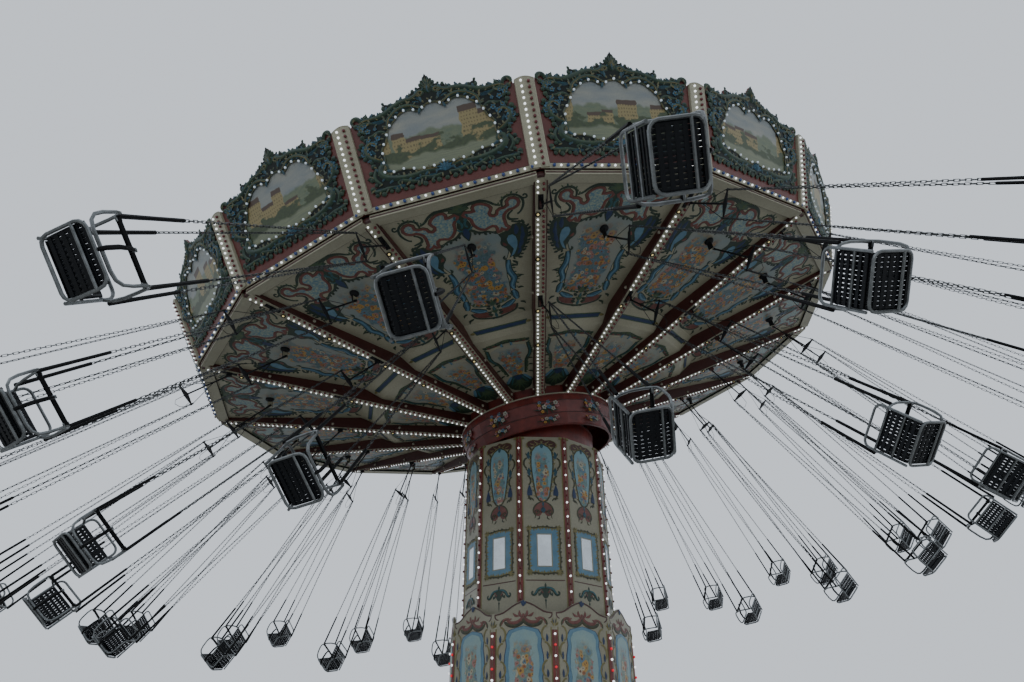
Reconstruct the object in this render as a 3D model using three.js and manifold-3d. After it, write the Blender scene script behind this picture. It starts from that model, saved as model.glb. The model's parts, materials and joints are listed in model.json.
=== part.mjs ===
// Chair swing ride in flight: a fixed tower, a lifting tube, a tilting head, and a
// turning canopy with three rings of chairs on chains. Millimetres, +Z up, floor at 0.
import * as THREE from "three";
import { mergeVertices } from "three/addons/utils/BufferGeometryUtils.js";
import Module from "manifold-3d";

const wasm = await Module();
wasm.setup();

// Tilt of the head: how far, and toward which compass side the canopy leans.
const TILT_DEG = 11.2;
const LEAN_DEG = -153.63;
const PIVOT_Z = 7892;
const PIVOT_BELOW_RIM = 961;

// Canopy, in its own frame: origin at the rim's centre, +Z along the turning axis.
const BAYS = 16;
const RIB_PHASE_DEG = -87.35;
const RIM_R = 6080;
const FASCIA_TOP_R = 6470;
const FASCIA_TOP_H = 1160;
const BOARD_THICK = 45;
const SOFFIT_EDGE_R = 6050;
const HUB_R = 1400;
const HUB_INNER_R = 1210;
const HUB_SIDES = 32;
const HUB_PHASE_DEG = RIB_PHASE_DEG + 180 / HUB_SIDES;
const SOFFIT_THICK = 28;
const RIB_WIDE = 190;
const ROOF_TOP_H = 2430;
const SLEEVE_FOOT_H = -560;

// The underside on a rib line, as [radius, height] from hub to rim: inner panels, a riser,
// outer panels. The ribs' own undersides run straight below it.
const SOFFIT_LINE = [
  [HUB_R, -1024],
  [3050, -695],
  [3350, -495],
  [SOFFIT_EDGE_R, -10],
];
const RIB_RIM_H = -50;
const RIB_HUB_H = -1189;
const PIN_R = 58;
const SEAM = 0.3;

// Chairs, three to a bay: outer and inner ones under the ribs, middle ones between.
const RIB_HANG = 50;
const PANEL_HANG = 145;
const RINGS = [
  { name: "outer", radius: 5600, halfBay: 0, swing: 50 },
  { name: "middle", radius: 4930, halfBay: 0.5, swing: 47 },
  { name: "inner", radius: 3760, halfBay: 0, swing: 42.5 },
];
const SWING_WAVE_DEG = 11.5;
const ROD_LONG = 760;
const CHAIR_TOP = 4765;
const CHAIR_WIDE = 550;
const CHAIR_DEEP = 480;
const CHAIR_TALL = 520;
const TUBE_THICK = 28;

// Tower.
const SIDES = 10;
const TUBE_R = 1284;
const TUBE_PHASE_DEG = -138.57;
const TUBE_TOP_Z = 6829;
const TUBE_FOOT_Z = 3000;
const NECK_R = 1100;
const NECK_TOP_Z = 7300;
const TOWER_R = 1524;
const TOWER_PHASE_DEG = -153.29;
const TOWER_VALLEY_Z = 3840;
const TOWER_PEAK_Z = 4045;
const MAST_WIDE = 740;
const MAST_FOOT_Z = 2750;
const GUIDE_WIDE = 900;
const GUIDE_TOP_Z = 3700;
const FOOT_HIGH = 200;
const FOOT_REACH = 2050;
const FEET = 6;

const rad = THREE.MathUtils.degToRad;

// A triangle surface as a solid that can be joined and cut.
function solid(geometry, matrix = null) {
  const bare = new THREE.BufferGeometry();
  bare.setAttribute("position", geometry.getAttribute("position").clone());
  if (geometry.index) bare.setIndex(geometry.index);
  if (matrix) bare.applyMatrix4(matrix);
  const merged = mergeVertices(bare, 1e-3);
  return new wasm.Manifold(
    new wasm.Mesh({
      numProp: 3,
      vertProperties: new Float32Array(merged.getAttribute("position").array),
      triVerts: new Uint32Array(merged.index.array),
    }),
  );
}

function unite(solids) {
  return wasm.Manifold.union(solids);
}

// A solid as a triangle surface with flat faces.
function geometryOf(body) {
  const mesh = body.getMesh();
  const geometry = new THREE.BufferGeometry();
  geometry.setAttribute("position", new THREE.BufferAttribute(new Float32Array(mesh.vertProperties), 3));
  geometry.setIndex(new THREE.BufferAttribute(new Uint32Array(mesh.triVerts), 1));
  const flat = geometry.toNonIndexed();
  flat.computeVertexNormals();
  return flat;
}

function matrixAt(x, y, z) {
  return new THREE.Matrix4().makeTranslation(x, y, z);
}

// A box from its low and high corners.
function box(low, high, matrix = null) {
  const size = high.map((value, axis) => value - low[axis]);
  const middle = high.map((value, axis) => (value + low[axis]) / 2);
  const place = matrixAt(...middle);
  if (matrix) place.premultiply(matrix);
  return solid(new THREE.BoxGeometry(...size), place);
}

// An outline in X and Y, extruded along +Z from 0.
function extruded(points, depth, holes = [], matrix = null) {
  const shape = new THREE.Shape(points.map(([x, y]) => new THREE.Vector2(x, y)));
  for (const hole of holes) {
    shape.holes.push(new THREE.Path(hole.map(([x, y]) => new THREE.Vector2(x, y))));
  }
  const geometry = new THREE.ExtrudeGeometry(shape, { depth, bevelEnabled: false });
  return solid(geometry, matrix);
}

// A closed profile of [radius, height] points, turned about +Z with a flat-sided outline.
// The first corner of the outline stands at the phase angle.
function turned(profile, sides, phaseDeg) {
  const points = [...profile, profile[0]].map(([r, h]) => new THREE.Vector2(r, h));
  const geometry = new THREE.LatheGeometry(points, sides);
  // LatheGeometry turns about Y from the Z axis: stand it up with its first corner on +X.
  const upright = new THREE.Matrix4().makeBasis(
    new THREE.Vector3(0, 1, 0),
    new THREE.Vector3(0, 0, 1),
    new THREE.Vector3(1, 0, 0),
  );
  upright.premultiply(new THREE.Matrix4().makeRotationZ(rad(phaseDeg)));
  return solid(geometry, upright);
}

// A straight bar with a few flat sides between two points.
function bar(from, to, radius, sides, turnDeg = 0) {
  const a = new THREE.Vector3(...from);
  const b = new THREE.Vector3(...to);
  const along = b.clone().sub(a);
  const geometry = new THREE.CylinderGeometry(radius, radius, along.length(), sides, 1);
  const turn = new THREE.Quaternion().setFromUnitVectors(
    new THREE.Vector3(0, 1, 0),
    along.clone().normalize(),
  );
  const place = new THREE.Matrix4().compose(
    a.clone().add(b).multiplyScalar(0.5),
    turn,
    new THREE.Vector3(1, 1, 1),
  );
  place.multiply(new THREE.Matrix4().makeRotationY(rad(turnDeg)));
  return solid(geometry, place);
}

// The frame of a piece that faces outward at an angle: X along the side, Y up, Z outward.
function facing(angleDeg, radius, height) {
  const a = rad(angleDeg);
  const outward = new THREE.Vector3(Math.cos(a), Math.sin(a), 0);
  const along = new THREE.Vector3(-Math.sin(a), Math.cos(a), 0);
  const place = new THREE.Matrix4().makeBasis(along, new THREE.Vector3(0, 0, 1), outward);
  return place.setPosition(outward.multiplyScalar(radius).setZ(height));
}

const COLOURS = {
  cream: 0xb9ad90,
  red: 0x7c3a34,
  maroon: 0x4e2420,
  steel: 0x8d9194,
  dark: 0x1c1c1e,
  green: 0x2e4a45,
  galvanised: 0x9aa0a2,
  canvas: 0xa9a290,
};

const ride = new THREE.Group();
ride.name = "chair_swing_ride";

const pivot = new THREE.Vector3(0, 0, PIVOT_Z);
const tiltAxis = new THREE.Vector3(-Math.sin(rad(LEAN_DEG)), Math.cos(rad(LEAN_DEG)), 0);
const canopyTurn = new THREE.Quaternion().setFromAxisAngle(tiltAxis, rad(TILT_DEG));
const turningAxis = new THREE.Vector3(0, 0, 1).applyQuaternion(canopyTurn);

const canopy = new THREE.Group();
canopy.name = "canopy";
canopy.quaternion.copy(canopyTurn);
canopy.position.copy(pivot).addScaledVector(turningAxis, PIVOT_BELOW_RIM);
ride.add(canopy);

function addMesh(parent, name, body, colour, roughness = 0.6, metalness = 0) {
  const material = new THREE.MeshStandardMaterial({ color: colour, roughness, metalness });
  const geometry = body.isBufferGeometry ? body : geometryOf(body);
  const mesh = new THREE.Mesh(geometry, material);
  mesh.name = name;
  parent.add(mesh);
  return mesh;
}

function baseFrame() {
  const half = GUIDE_WIDE / 2;
  const parts = [box([-half, -half, 0], [half, half, GUIDE_TOP_Z])];
  for (let foot = 0; foot < FEET; foot++) {
    const place = new THREE.Matrix4().makeRotationZ(rad(foot * (360 / FEET)));
    parts.push(box([300, -110, 0], [FOOT_REACH, 110, FOOT_HIGH - SEAM], place));
    parts.push(box([FOOT_REACH - 300, -190, 0], [FOOT_REACH + 60, 190, 40], place));
  }
  const bore = MAST_WIDE / 2 + SEAM;
  return unite(parts).subtract(box([-bore, -bore, 40], [bore, bore, GUIDE_TOP_Z + 10]));
}

function lowerTower() {
  const inner = TOWER_R - 60;
  const wall = turned(
    [
      [inner, FOOT_HIGH],
      [TOWER_R, FOOT_HIGH],
      [TOWER_R, TOWER_VALLEY_Z],
      [inner, TOWER_VALLEY_Z],
    ],
    SIDES,
    TOWER_PHASE_DEG,
  );
  const half = TOWER_R * Math.sin(Math.PI / SIDES);
  const apothem = TOWER_R * Math.cos(Math.PI / SIDES);
  const foot = TOWER_VALLEY_Z - 60;
  const rise = TOWER_PEAK_Z - TOWER_VALLEY_Z;
  const profile = [
    [half, 0],
    [half, 18],
    [half * 0.72, rise * 0.1],
    [half * 0.5, rise * 0.42],
    [half * 0.28, rise * 0.76],
    [0, rise],
  ];
  const right = profile.slice(1).map(([x, y]) => [x, y + 60]);
  const left = right
    .slice(0, -1)
    .reverse()
    .map(([x, y]) => [-x, y]);
  const outline = [[-half, 0], [half, 0], ...right, ...left];
  const parts = [wall];
  for (let side = 0; side < SIDES; side++) {
    const middle = TOWER_PHASE_DEG + (side + 0.5) * (360 / SIDES);
    parts.push(extruded(outline, 40, [], facing(middle, apothem - 44, foot)));
  }
  return unite(parts);
}

function upperTube() {
  const inner = TUBE_R - 50;
  const wall = turned(
    [
      [inner, TUBE_FOOT_Z],
      [TUBE_R, TUBE_FOOT_Z],
      [TUBE_R, TUBE_TOP_Z],
      [inner, TUBE_TOP_Z],
    ],
    SIDES,
    TUBE_PHASE_DEG,
  );
  const lid = turned(
    [
      [0, TUBE_TOP_Z - 50],
      [TUBE_R - 20, TUBE_TOP_Z - 50],
      [TUBE_R - 20, TUBE_TOP_Z - 8],
      [0, TUBE_TOP_Z - 8],
    ],
    SIDES,
    TUBE_PHASE_DEG,
  );
  const neck = turned(
    [
      [NECK_R - 40, TUBE_TOP_Z - 30],
      [NECK_R, TUBE_TOP_Z - 30],
      [NECK_R, NECK_TOP_Z],
      [NECK_R - 40, NECK_TOP_Z],
    ],
    20,
    TUBE_PHASE_DEG,
  );
  const hole = MAST_WIDE / 2 + SEAM;
  return unite([wall, lid, neck]).subtract(
    box([-hole, -hole, TUBE_TOP_Z - 100], [hole, hole, TUBE_TOP_Z + 100]),
  );
}

function liftMast() {
  const half = MAST_WIDE / 2;
  const inner = half - 30;
  const shaft = box([-half, -half, MAST_FOOT_Z], [half, half, NECK_TOP_Z]).subtract(
    box([-inner, -inner, MAST_FOOT_Z - 10], [inner, inner, NECK_TOP_Z - 40]),
  );
  // Two ears carry the head's cross pin; their local X runs along the pin.
  const turn = new THREE.Matrix4().makeRotationZ(rad(LEAN_DEG + 90));
  const low = NECK_TOP_Z - 20;
  const high = PIVOT_Z + 200;
  const ears = [
    box([200, -180, low], [280, 180, high], turn),
    box([-280, -180, low], [-200, 180, high], turn),
  ];
  const across = new THREE.Vector3(400, 0, 0).applyMatrix4(turn);
  const from = [-across.x, -across.y, PIVOT_Z];
  const to = [across.x, across.y, PIVOT_Z];
  return unite([shaft, ...ears]).subtract(bar(from, to, PIN_R + 1, 24));
}

addMesh(ride, "base_frame", baseFrame(), COLOURS.steel, 0.55, 0.4);
addMesh(ride, "lower_tower", lowerTower(), COLOURS.cream);
addMesh(ride, "upper_tube", upperTube(), COLOURS.cream);
addMesh(ride, "lift_mast", liftMast(), COLOURS.steel, 0.5, 0.5);

function tiltHead() {
  const middle = -PIVOT_BELOW_RIM;
  const turn = new THREE.Matrix4().makeRotationZ(rad(LEAN_DEG + 90));
  const block = box([-180, -170, middle - 170], [180, 170, middle + 230], turn);
  const across = new THREE.Vector3(285, 0, 0).applyMatrix4(turn);
  const pin = bar([-across.x, -across.y, middle], [across.x, across.y, middle], PIN_R, 24);
  const flange = bar([0, 0, -675], [0, 0, SLEEVE_FOOT_H - SEAM], 250, 12);
  const spindle = bar([0, 0, -760], [0, 0, 1900], 165, 12);
  return unite([block, pin, flange, spindle]);
}

// Height of the soffit's underside on a rib line.
function soffitHeight(r) {
  const next = Math.max(1, SOFFIT_LINE.findIndex(([radius]) => r <= radius));
  const [innerR, innerH] = SOFFIT_LINE[next - 1];
  const [outerR, outerH] = SOFFIT_LINE[next];
  return innerH + ((outerH - innerH) * (r - innerR)) / (outerR - innerR);
}

// Height of a rib's underside.
function ribHeight(r) {
  const share = (SOFFIT_EDGE_R - r) / (SOFFIT_EDGE_R - HUB_R);
  return RIB_RIM_H + (RIB_HUB_H - RIB_RIM_H) * share;
}

// Height of a ring's pivots: below a rib, or below the flat of a panel.
function hangHeight(ring) {
  if (ring.halfBay === 0) return ribHeight(ring.radius) - RIB_HANG;
  return soffitHeight(ring.radius / Math.cos(Math.PI / BAYS)) - PANEL_HANG;
}

// A hanging lug beside a chair's rod, down to just below the pivot that joins the two.
function lug(radius, height, angleDeg, rise) {
  const place = matrixAt(radius, 0, height);
  place.premultiply(new THREE.Matrix4().makeRotationZ(rad(angleDeg)));
  return box([-35, -24, -25], [35, -SEAM / 2, rise], place);
}

function ribLug(ring, angleDeg) {
  return lug(ring.radius, hangHeight(ring), angleDeg, RIB_HANG + 25);
}

// The turning centre: a sleeve on the spindle, and the cone web that carries the hub ring.
function canopyHub() {
  const sleeve = turned(
    [
      [205, SLEEVE_FOOT_H],
      [400, SLEEVE_FOOT_H],
      [400, ROOF_TOP_H - 30 - SEAM],
      [205, ROOF_TOP_H - 30 - SEAM],
    ],
    BAYS,
    RIB_PHASE_DEG,
  );
  const web = turned(
    [
      [380, -500],
      [HUB_INNER_R - SEAM, -1175],
      [HUB_INNER_R - SEAM, -1110],
      [380, -430],
    ],
    HUB_SIDES,
    HUB_PHASE_DEG,
  );
  return unite([sleeve, web]);
}

// The ring that the ribs stand on and the collar hangs from.
function hubRing() {
  return turned(
    [
      [HUB_INNER_R, -1250],
      [HUB_R - SEAM, -1250],
      [HUB_R - SEAM, -1000],
      [HUB_INNER_R, -1000],
    ],
    HUB_SIDES,
    HUB_PHASE_DEG,
  );
}

// The rim ring and the ribs, whose inner ends stand on the flats of the hub ring.
function ribFrame() {
  const rim = turned(
    [
      [5890, -74],
      [6034.7, -74],
      [6034.7, -14],
      [5890, -14],
    ],
    BAYS,
    RIB_PHASE_DEG,
  );
  // One rib in side view: X outward, Y up, its top just under the soffit.
  const top = (r) => [r, soffitHeight(r) - SEAM];
  const under = (r) => [r, ribHeight(r)];
  const start = (HUB_R - SEAM) * Math.cos(Math.PI / HUB_SIDES) + SEAM;
  const [, [riserInR], [riserOutR]] = SOFFIT_LINE;
  const outline = [under(start), under(5960), top(5960), top(riserOutR), top(riserInR), top(start)];
  const parts = [rim];
  for (let bay = 0; bay < BAYS; bay++) {
    const angle = RIB_PHASE_DEG + bay * (360 / BAYS);
    const place = new THREE.Matrix4().makeRotationX(Math.PI / 2);
    place.premultiply(matrixAt(0, RIB_WIDE / 2, 0));
    place.premultiply(new THREE.Matrix4().makeRotationZ(rad(angle)));
    parts.push(extruded(outline, RIB_WIDE, [], place));
    parts.push(ribLug(RINGS[0], angle));
    parts.push(ribLug(RINGS[2], angle));
  }
  return unite(parts);
}

function soffit() {
  const edge = 5885;
  const inner = 1425;
  const [, riserIn, riserOut] = SOFFIT_LINE;
  const under = [[inner, soffitHeight(inner)], riserIn, riserOut, [edge, soffitHeight(edge)]];
  const over = under.map(([r, h]) => [r, h + SOFFIT_THICK]).reverse();
  const skin = turned([...under, ...over], BAYS, RIB_PHASE_DEG);
  const parts = [skin];
  for (let bay = 0; bay < BAYS; bay++) {
    const angle = RIB_PHASE_DEG + (bay + 0.5) * (360 / BAYS);
    parts.push(lug(RINGS[1].radius, hangHeight(RINGS[1]), angle, PANEL_HANG + 22));
  }
  return unite(parts);
}

function collar() {
  return turned(
    [
      [HUB_R, -1300],
      [HUB_R - 5, -1550],
      [1320, -1765],
      [1360, -1765],
      [1440, -1560],
      [1470, -1340],
      [1455, -1200],
      [HUB_R, -1200],
    ],
    HUB_SIDES,
    HUB_PHASE_DEG,
  );
}

// Sixteen painted boards that lean outward, and the posts that cover their joints.
function fascia() {
  const half = Math.PI / BAYS;
  const run = FASCIA_TOP_R - RIM_R;
  const boardRun = run * Math.cos(half);
  const slope = Math.hypot(boardRun, FASCIA_TOP_H);
  const cornerSlope = Math.hypot(run, FASCIA_TOP_H);
  const footHalf = RIM_R * Math.sin(half) - 4;
  const headHalf = FASCIA_TOP_R * Math.sin(half) - 4;
  const crest = [
    [headHalf, slope],
    [800, slope + 95],
    [610, slope + 120],
    [400, slope + 230],
    [210, slope + 290],
    [0, slope + 465],
  ];
  const left = crest
    .slice(0, -1)
    .reverse()
    .map(([x, y]) => [-x, y]);
  const outline = [[-footHalf, 0], [footHalf, 0], ...crest, ...left];
  const parts = [];
  for (let bay = 0; bay < BAYS; bay++) {
    const middle = RIB_PHASE_DEG + (bay + 0.5) * (360 / BAYS);
    const board = facing(middle, RIM_R * Math.cos(half), 0);
    board.multiply(new THREE.Matrix4().makeRotationX(Math.atan2(boardRun, FASCIA_TOP_H)));
    board.multiply(matrixAt(0, 0, -BOARD_THICK));
    parts.push(extruded(outline, BOARD_THICK, [], board));

    const corner = RIB_PHASE_DEG + bay * (360 / BAYS);
    const post = facing(corner, RIM_R, 0);
    post.multiply(new THREE.Matrix4().makeRotationX(Math.atan2(run, FASCIA_TOP_H)));
    post.multiply(matrixAt(0, 0, -40));
    const postOutline = [
      [-135, 4],
      [135, 4],
      [135, cornerSlope + 40],
      [65, cornerSlope + 120],
      [-65, cornerSlope + 120],
      [-135, cornerSlope + 40],
    ];
    parts.push(extruded(postOutline, 58, [], post));
  }
  return unite(parts);
}

// The roof's edge lies against the boards' inner faces.
function roof() {
  const half = Math.PI / BAYS;
  const lean = (FASCIA_TOP_R - RIM_R) * Math.cos(half);
  const inward = (BOARD_THICK * Math.hypot(lean, FASCIA_TOP_H)) / FASCIA_TOP_H + SEAM;
  const edge = (h) => RIM_R + ((lean * h) / FASCIA_TOP_H - inward) / Math.cos(half);
  return turned(
    [
      [0, ROOF_TOP_H - 30],
      [600, ROOF_TOP_H - 30],
      [edge(1000), 1000],
      [edge(1030), 1030],
      [600, ROOF_TOP_H],
      [0, ROOF_TOP_H],
    ],
    BAYS,
    RIB_PHASE_DEG,
  );
}

addMesh(canopy, "tilt_head", tiltHead(), COLOURS.steel, 0.5, 0.5);
addMesh(canopy, "canopy_hub", canopyHub(), COLOURS.maroon);
addMesh(canopy, "hub_ring", hubRing(), COLOURS.maroon);
addMesh(canopy, "rib_frame", ribFrame(), COLOURS.maroon);
addMesh(canopy, "soffit", soffit(), COLOURS.cream);
addMesh(canopy, "collar", collar(), COLOURS.red);
addMesh(canopy, "fascia", fascia(), COLOURS.green);
addMesh(canopy, "roof", roof(), COLOURS.canvas, 0.8);

// One chair with its hanging rod, spreader bar and four chains, hanging straight down.
// Origin at the pivot, X outward from the ride's centre, Y the way the rider faces.
function chairGeometry() {
  const halfWide = CHAIR_WIDE / 2;
  const halfDeep = CHAIR_DEEP / 2;
  const top = -CHAIR_TOP + 15;
  const foot = top - CHAIR_TALL;
  const parts = [
    box([-12, SEAM / 2, -ROD_LONG], [12, 24, 22]),
    box([-210, -17, -ROD_LONG - 25], [210, 17, -ROD_LONG + 25]),
  ];
  for (const side of [-1, 1]) {
    for (const end of [-1, 1]) {
      const from = [side * 185, end * 4, -ROD_LONG];
      const to = [side * halfWide, end * (halfDeep - 32), -CHAIR_TOP];
      parts.push(bar(from, to, 13, 3));
    }
    // Side hoop: a frame in the plane of Y and Z.
    const hoop = (inset) => [
      [inset - halfDeep, foot + inset],
      [halfDeep - inset, foot + inset],
      [halfDeep - inset, top - inset],
      [inset - halfDeep, top - inset],
    ];
    const place = new THREE.Matrix4().makeBasis(
      new THREE.Vector3(0, 1, 0),
      new THREE.Vector3(0, 0, 1),
      new THREE.Vector3(1, 0, 0),
    );
    place.setPosition(side * halfWide - TUBE_THICK / 2, 0, 0);
    parts.push(extruded(hoop(0), TUBE_THICK, [hoop(TUBE_THICK).reverse()], place));
  }
  // Seat pan and backrest in one L, from hoop to hoop.
  const pan = foot + 125;
  const profile = [
    [halfDeep - 20, pan],
    [halfDeep - 20, pan + 32],
    [-halfDeep + 66, pan + 32],
    [-halfDeep + 26, top + 120],
    [-halfDeep - 6, top + 120],
    [-halfDeep + 30, pan],
  ];
  const across = new THREE.Matrix4().makeBasis(
    new THREE.Vector3(0, 1, 0),
    new THREE.Vector3(0, 0, 1),
    new THREE.Vector3(1, 0, 0),
  );
  across.setPosition(-halfWide + 4, 0, 0);
  parts.push(extruded(profile, CHAIR_WIDE - 8, [], across));
  // Lap bar across the front.
  const front = halfDeep - TUBE_THICK;
  parts.push(box([-halfWide, front + 3, top - 130], [halfWide, front + 25, top - 104]));
  return geometryOf(unite(parts));
}

// How far out a chair flies in the tilted ride: more on the low side, less on the high side.
function swingDeg(ring, angleDeg) {
  return ring.swing + SWING_WAVE_DEG * Math.cos(rad(angleDeg - LEAN_DEG));
}

const chair = chairGeometry();
for (const ring of RINGS) {
  for (let bay = 0; bay < BAYS; bay++) {
    const angle = RIB_PHASE_DEG + (bay + ring.halfBay) * (360 / BAYS);
    const mesh = addMesh(
      canopy,
      `${ring.name}_chair_${String(bay + 1).padStart(2, "0")}`,
      chair,
      COLOURS.galvanised,
      0.45,
      0.7,
    );
    mesh.rotation.order = "ZYX";
    mesh.rotation.z = rad(angle);
    mesh.rotation.y = -rad(swingDeg(ring, angle));
    const [x, y] = [ring.radius * Math.cos(rad(angle)), ring.radius * Math.sin(rad(angle))];
    mesh.position.set(x, y, hangHeight(ring));
  }
}

export default ride;
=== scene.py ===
import json
import logging
import math
import random
from dataclasses import dataclass, field
from enum import Enum
from typing import Sequence

import bpy
from mathutils import Matrix, Vector

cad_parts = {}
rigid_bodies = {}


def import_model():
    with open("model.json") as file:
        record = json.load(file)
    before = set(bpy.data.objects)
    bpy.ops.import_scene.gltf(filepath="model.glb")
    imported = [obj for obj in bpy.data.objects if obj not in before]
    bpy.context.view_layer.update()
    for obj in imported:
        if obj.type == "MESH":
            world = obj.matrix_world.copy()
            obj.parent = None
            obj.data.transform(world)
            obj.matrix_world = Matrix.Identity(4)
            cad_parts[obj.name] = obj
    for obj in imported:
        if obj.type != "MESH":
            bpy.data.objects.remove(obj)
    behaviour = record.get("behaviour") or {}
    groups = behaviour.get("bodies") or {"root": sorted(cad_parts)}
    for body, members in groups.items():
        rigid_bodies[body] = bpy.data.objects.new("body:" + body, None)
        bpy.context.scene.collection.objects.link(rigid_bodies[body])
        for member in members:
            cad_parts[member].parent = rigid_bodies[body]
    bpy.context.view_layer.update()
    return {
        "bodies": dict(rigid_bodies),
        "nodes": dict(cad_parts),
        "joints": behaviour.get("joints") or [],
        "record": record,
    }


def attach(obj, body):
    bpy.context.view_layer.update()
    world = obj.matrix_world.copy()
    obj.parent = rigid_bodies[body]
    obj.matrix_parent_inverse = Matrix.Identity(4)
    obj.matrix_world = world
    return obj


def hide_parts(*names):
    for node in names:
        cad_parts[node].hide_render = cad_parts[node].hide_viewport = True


LOG = logging.getLogger("chair_swing_ride")

Point = tuple[float, float]
Corner = tuple[float, float, float]
Piece = bpy.types.Object
Socket = bpy.types.NodeSocket
NodeTree = bpy.types.NodeTree
MM = 0.001


def linear(hex_colour: str) -> tuple[float, float, float, float]:
    """Turns an sRGB hex colour to linear light.

    Args:
        hex_colour: six hex digits.

    Returns:
        Red, green, blue and alpha for a node's socket.
    """
    channels = [int(hex_colour[i:i + 2], 16) / 255 for i in (0, 2, 4)]
    light = [c / 12.92 if c <= 0.04045 else ((c + 0.055) / 1.055) ** 2.4 for c in channels]
    return (light[0], light[1], light[2], 1.0)


def add_node(tree: NodeTree, kind: str, settings: dict | None = None) -> bpy.types.Node:
    """Adds one node with its settings and its incoming links.

    Args:
        tree: the material's node tree.
        kind: the node's type name without the ShaderNode prefix.
        settings: attribute names with their values, and socket names or numbers with a constant, a hex
            colour or the output socket that feeds them.

    Returns:
        The new node.
    """
    node = tree.nodes.new("ShaderNode" + kind)
    for key, value in (settings or {}).items():
        if isinstance(key, str) and hasattr(node, key):
            setattr(node, key, value)
        elif isinstance(value, Socket):
            tree.links.new(value, node.inputs[key])
        else:
            node.inputs[key].default_value = linear(value) if isinstance(value, str) else value
    return node


@dataclass(frozen=True)
class RideLayout:
    """The ride's own dimensions in millimetres and degrees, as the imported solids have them."""

    tilt_deg: float = 11.2
    lean_deg: float = -153.63
    pivot_z: float = 7892
    pivot_below_rim: float = 961
    bays: int = 16
    rib_phase_deg: float = -87.35
    rim_r: float = 6080
    board_top_r: float = 6470
    board_top_h: float = 1160
    soffit_edge_r: float = 6050
    hub_r: float = 1400
    soffit_line: tuple[Point, ...] = ((1400, -1024), (3050, -695), (3350, -495), (6050, -10))
    rib_rim_h: float = -50
    rib_hub_h: float = -1189
    rib_hang: float = 50
    panel_hang: float = 145
    swing_wave_deg: float = 11.5
    tower_sides: int = 10
    tube_r: float = 1284
    tube_phase_deg: float = -138.57
    tube_top_z: float = 6829
    lower_r: float = 1524
    lower_phase_deg: float = -153.29
    lower_valley_z: float = 3840
    lower_peak_z: float = 4045

    @property
    def bay_deg(self) -> float:
        """The angle of one bay of the canopy."""
        return 360 / self.bays

    def canopy(self) -> Matrix:
        """The canopy's place: origin at the rim's centre, Z along the turning axis.

        Returns:
            The place, in metres.
        """
        lean = math.radians(self.lean_deg)
        axis = Vector((-math.sin(lean), math.cos(lean), 0))
        turn = Matrix.Rotation(math.radians(self.tilt_deg), 4, axis)
        foot = Matrix.Translation((0, 0, self.pivot_z * MM))
        return foot @ turn @ Matrix.Translation((0, 0, self.pivot_below_rim * MM))

    def soffit_height(self, r: float) -> float:
        """Height of the soffit's underside on a rib line, in millimetres.

        Args:
            r: distance from the canopy's axis.

        Returns:
            The height over the rim's plane.
        """
        for (r0, h0), (r1, h1) in zip(self.soffit_line, self.soffit_line[1:]):
            if r <= r1:
                break
        return h0 + (h1 - h0) * (r - r0) / (r1 - r0)

    def rib_height(self, r: float) -> float:
        """Height of a rib's underside, in millimetres."""
        share = (self.soffit_edge_r - r) / (self.soffit_edge_r - self.hub_r)
        return self.rib_rim_h + (self.rib_hub_h - self.rib_rim_h) * share

    def outward(self, angle_deg: float, r: float, h: float) -> Matrix:
        """A place in the canopy: X outward, Y with the turn, Z up, in metres."""
        turn = Matrix.Rotation(math.radians(angle_deg), 4, "Z")
        return self.canopy() @ turn @ Matrix.Translation((r * MM, 0, h * MM))


RIDE = RideLayout()


class Ring(Enum):
    """The three rings of chairs: pivot radius, half bay offset and mean swing."""

    OUTER = ("outer", 5600, 0.0, 50.0)
    MIDDLE = ("middle", 4930, 0.5, 47.0)
    INNER = ("inner", 3760, 0.0, 42.5)

    def __init__(self, label: str, radius: float, half_bay: float, swing_deg: float) -> None:
        """Keeps the ring's own numbers.

        Args:
            label: first word of its chairs' names.
            radius: distance of its pivots from the canopy's axis.
            half_bay: how far it is turned from the ribs, in bays.
            swing_deg: its mean swing.
        """
        self.label = label
        self.radius = radius
        self.half_bay = half_bay
        self.swing_deg = swing_deg

    def hang_height(self) -> float:
        """Height of the ring's pivots, in millimetres.

        Returns:
            The height over the rim's plane.
        """
        if self.half_bay == 0:
            return RIDE.rib_height(self.radius) - RIDE.rib_hang
        corner_r = self.radius / math.cos(math.pi / RIDE.bays)
        return RIDE.soffit_height(corner_r) - RIDE.panel_hang

    def azimuth(self, bay: int) -> float:
        """The compass angle of a chair in the canopy, in degrees."""
        return RIDE.rib_phase_deg + (bay + self.half_bay) * RIDE.bay_deg

    def pivot(self, bay: int) -> Matrix:
        """The pivot's place: X outward, Y with the turn, Z along the turning axis."""
        return RIDE.outward(self.azimuth(bay), self.radius, self.hang_height())

    def chair(self, bay: int) -> Matrix:
        """A flying chair's place: origin at the pivot, Z back along its chains."""
        wave = RIDE.swing_wave_deg * math.cos(math.radians(self.azimuth(bay) - RIDE.lean_deg))
        return self.pivot(bay) @ Matrix.Rotation(-math.radians(self.swing_deg + wave), 4, "Y")


class Surface:
    """What a piece is finished with; its material is made once and then shared."""

    name: str

    def shader(self, tree: NodeTree) -> bpy.types.Node:
        """Adds the surface's own nodes, the last of which is its shader."""
        raise NotImplementedError

    def material(self) -> bpy.types.Material:
        """Makes the surface's material once and returns it afterwards.

        Returns:
            The material.
        """
        known = bpy.data.materials.get(self.name)
        if known:
            return known
        made = bpy.data.materials.new(self.name)
        made.use_nodes = True
        made.node_tree.nodes.clear()
        shader = self.shader(made.node_tree)
        add_node(made.node_tree, "OutputMaterial", {"Surface": shader.outputs[0]})
        return made


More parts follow.
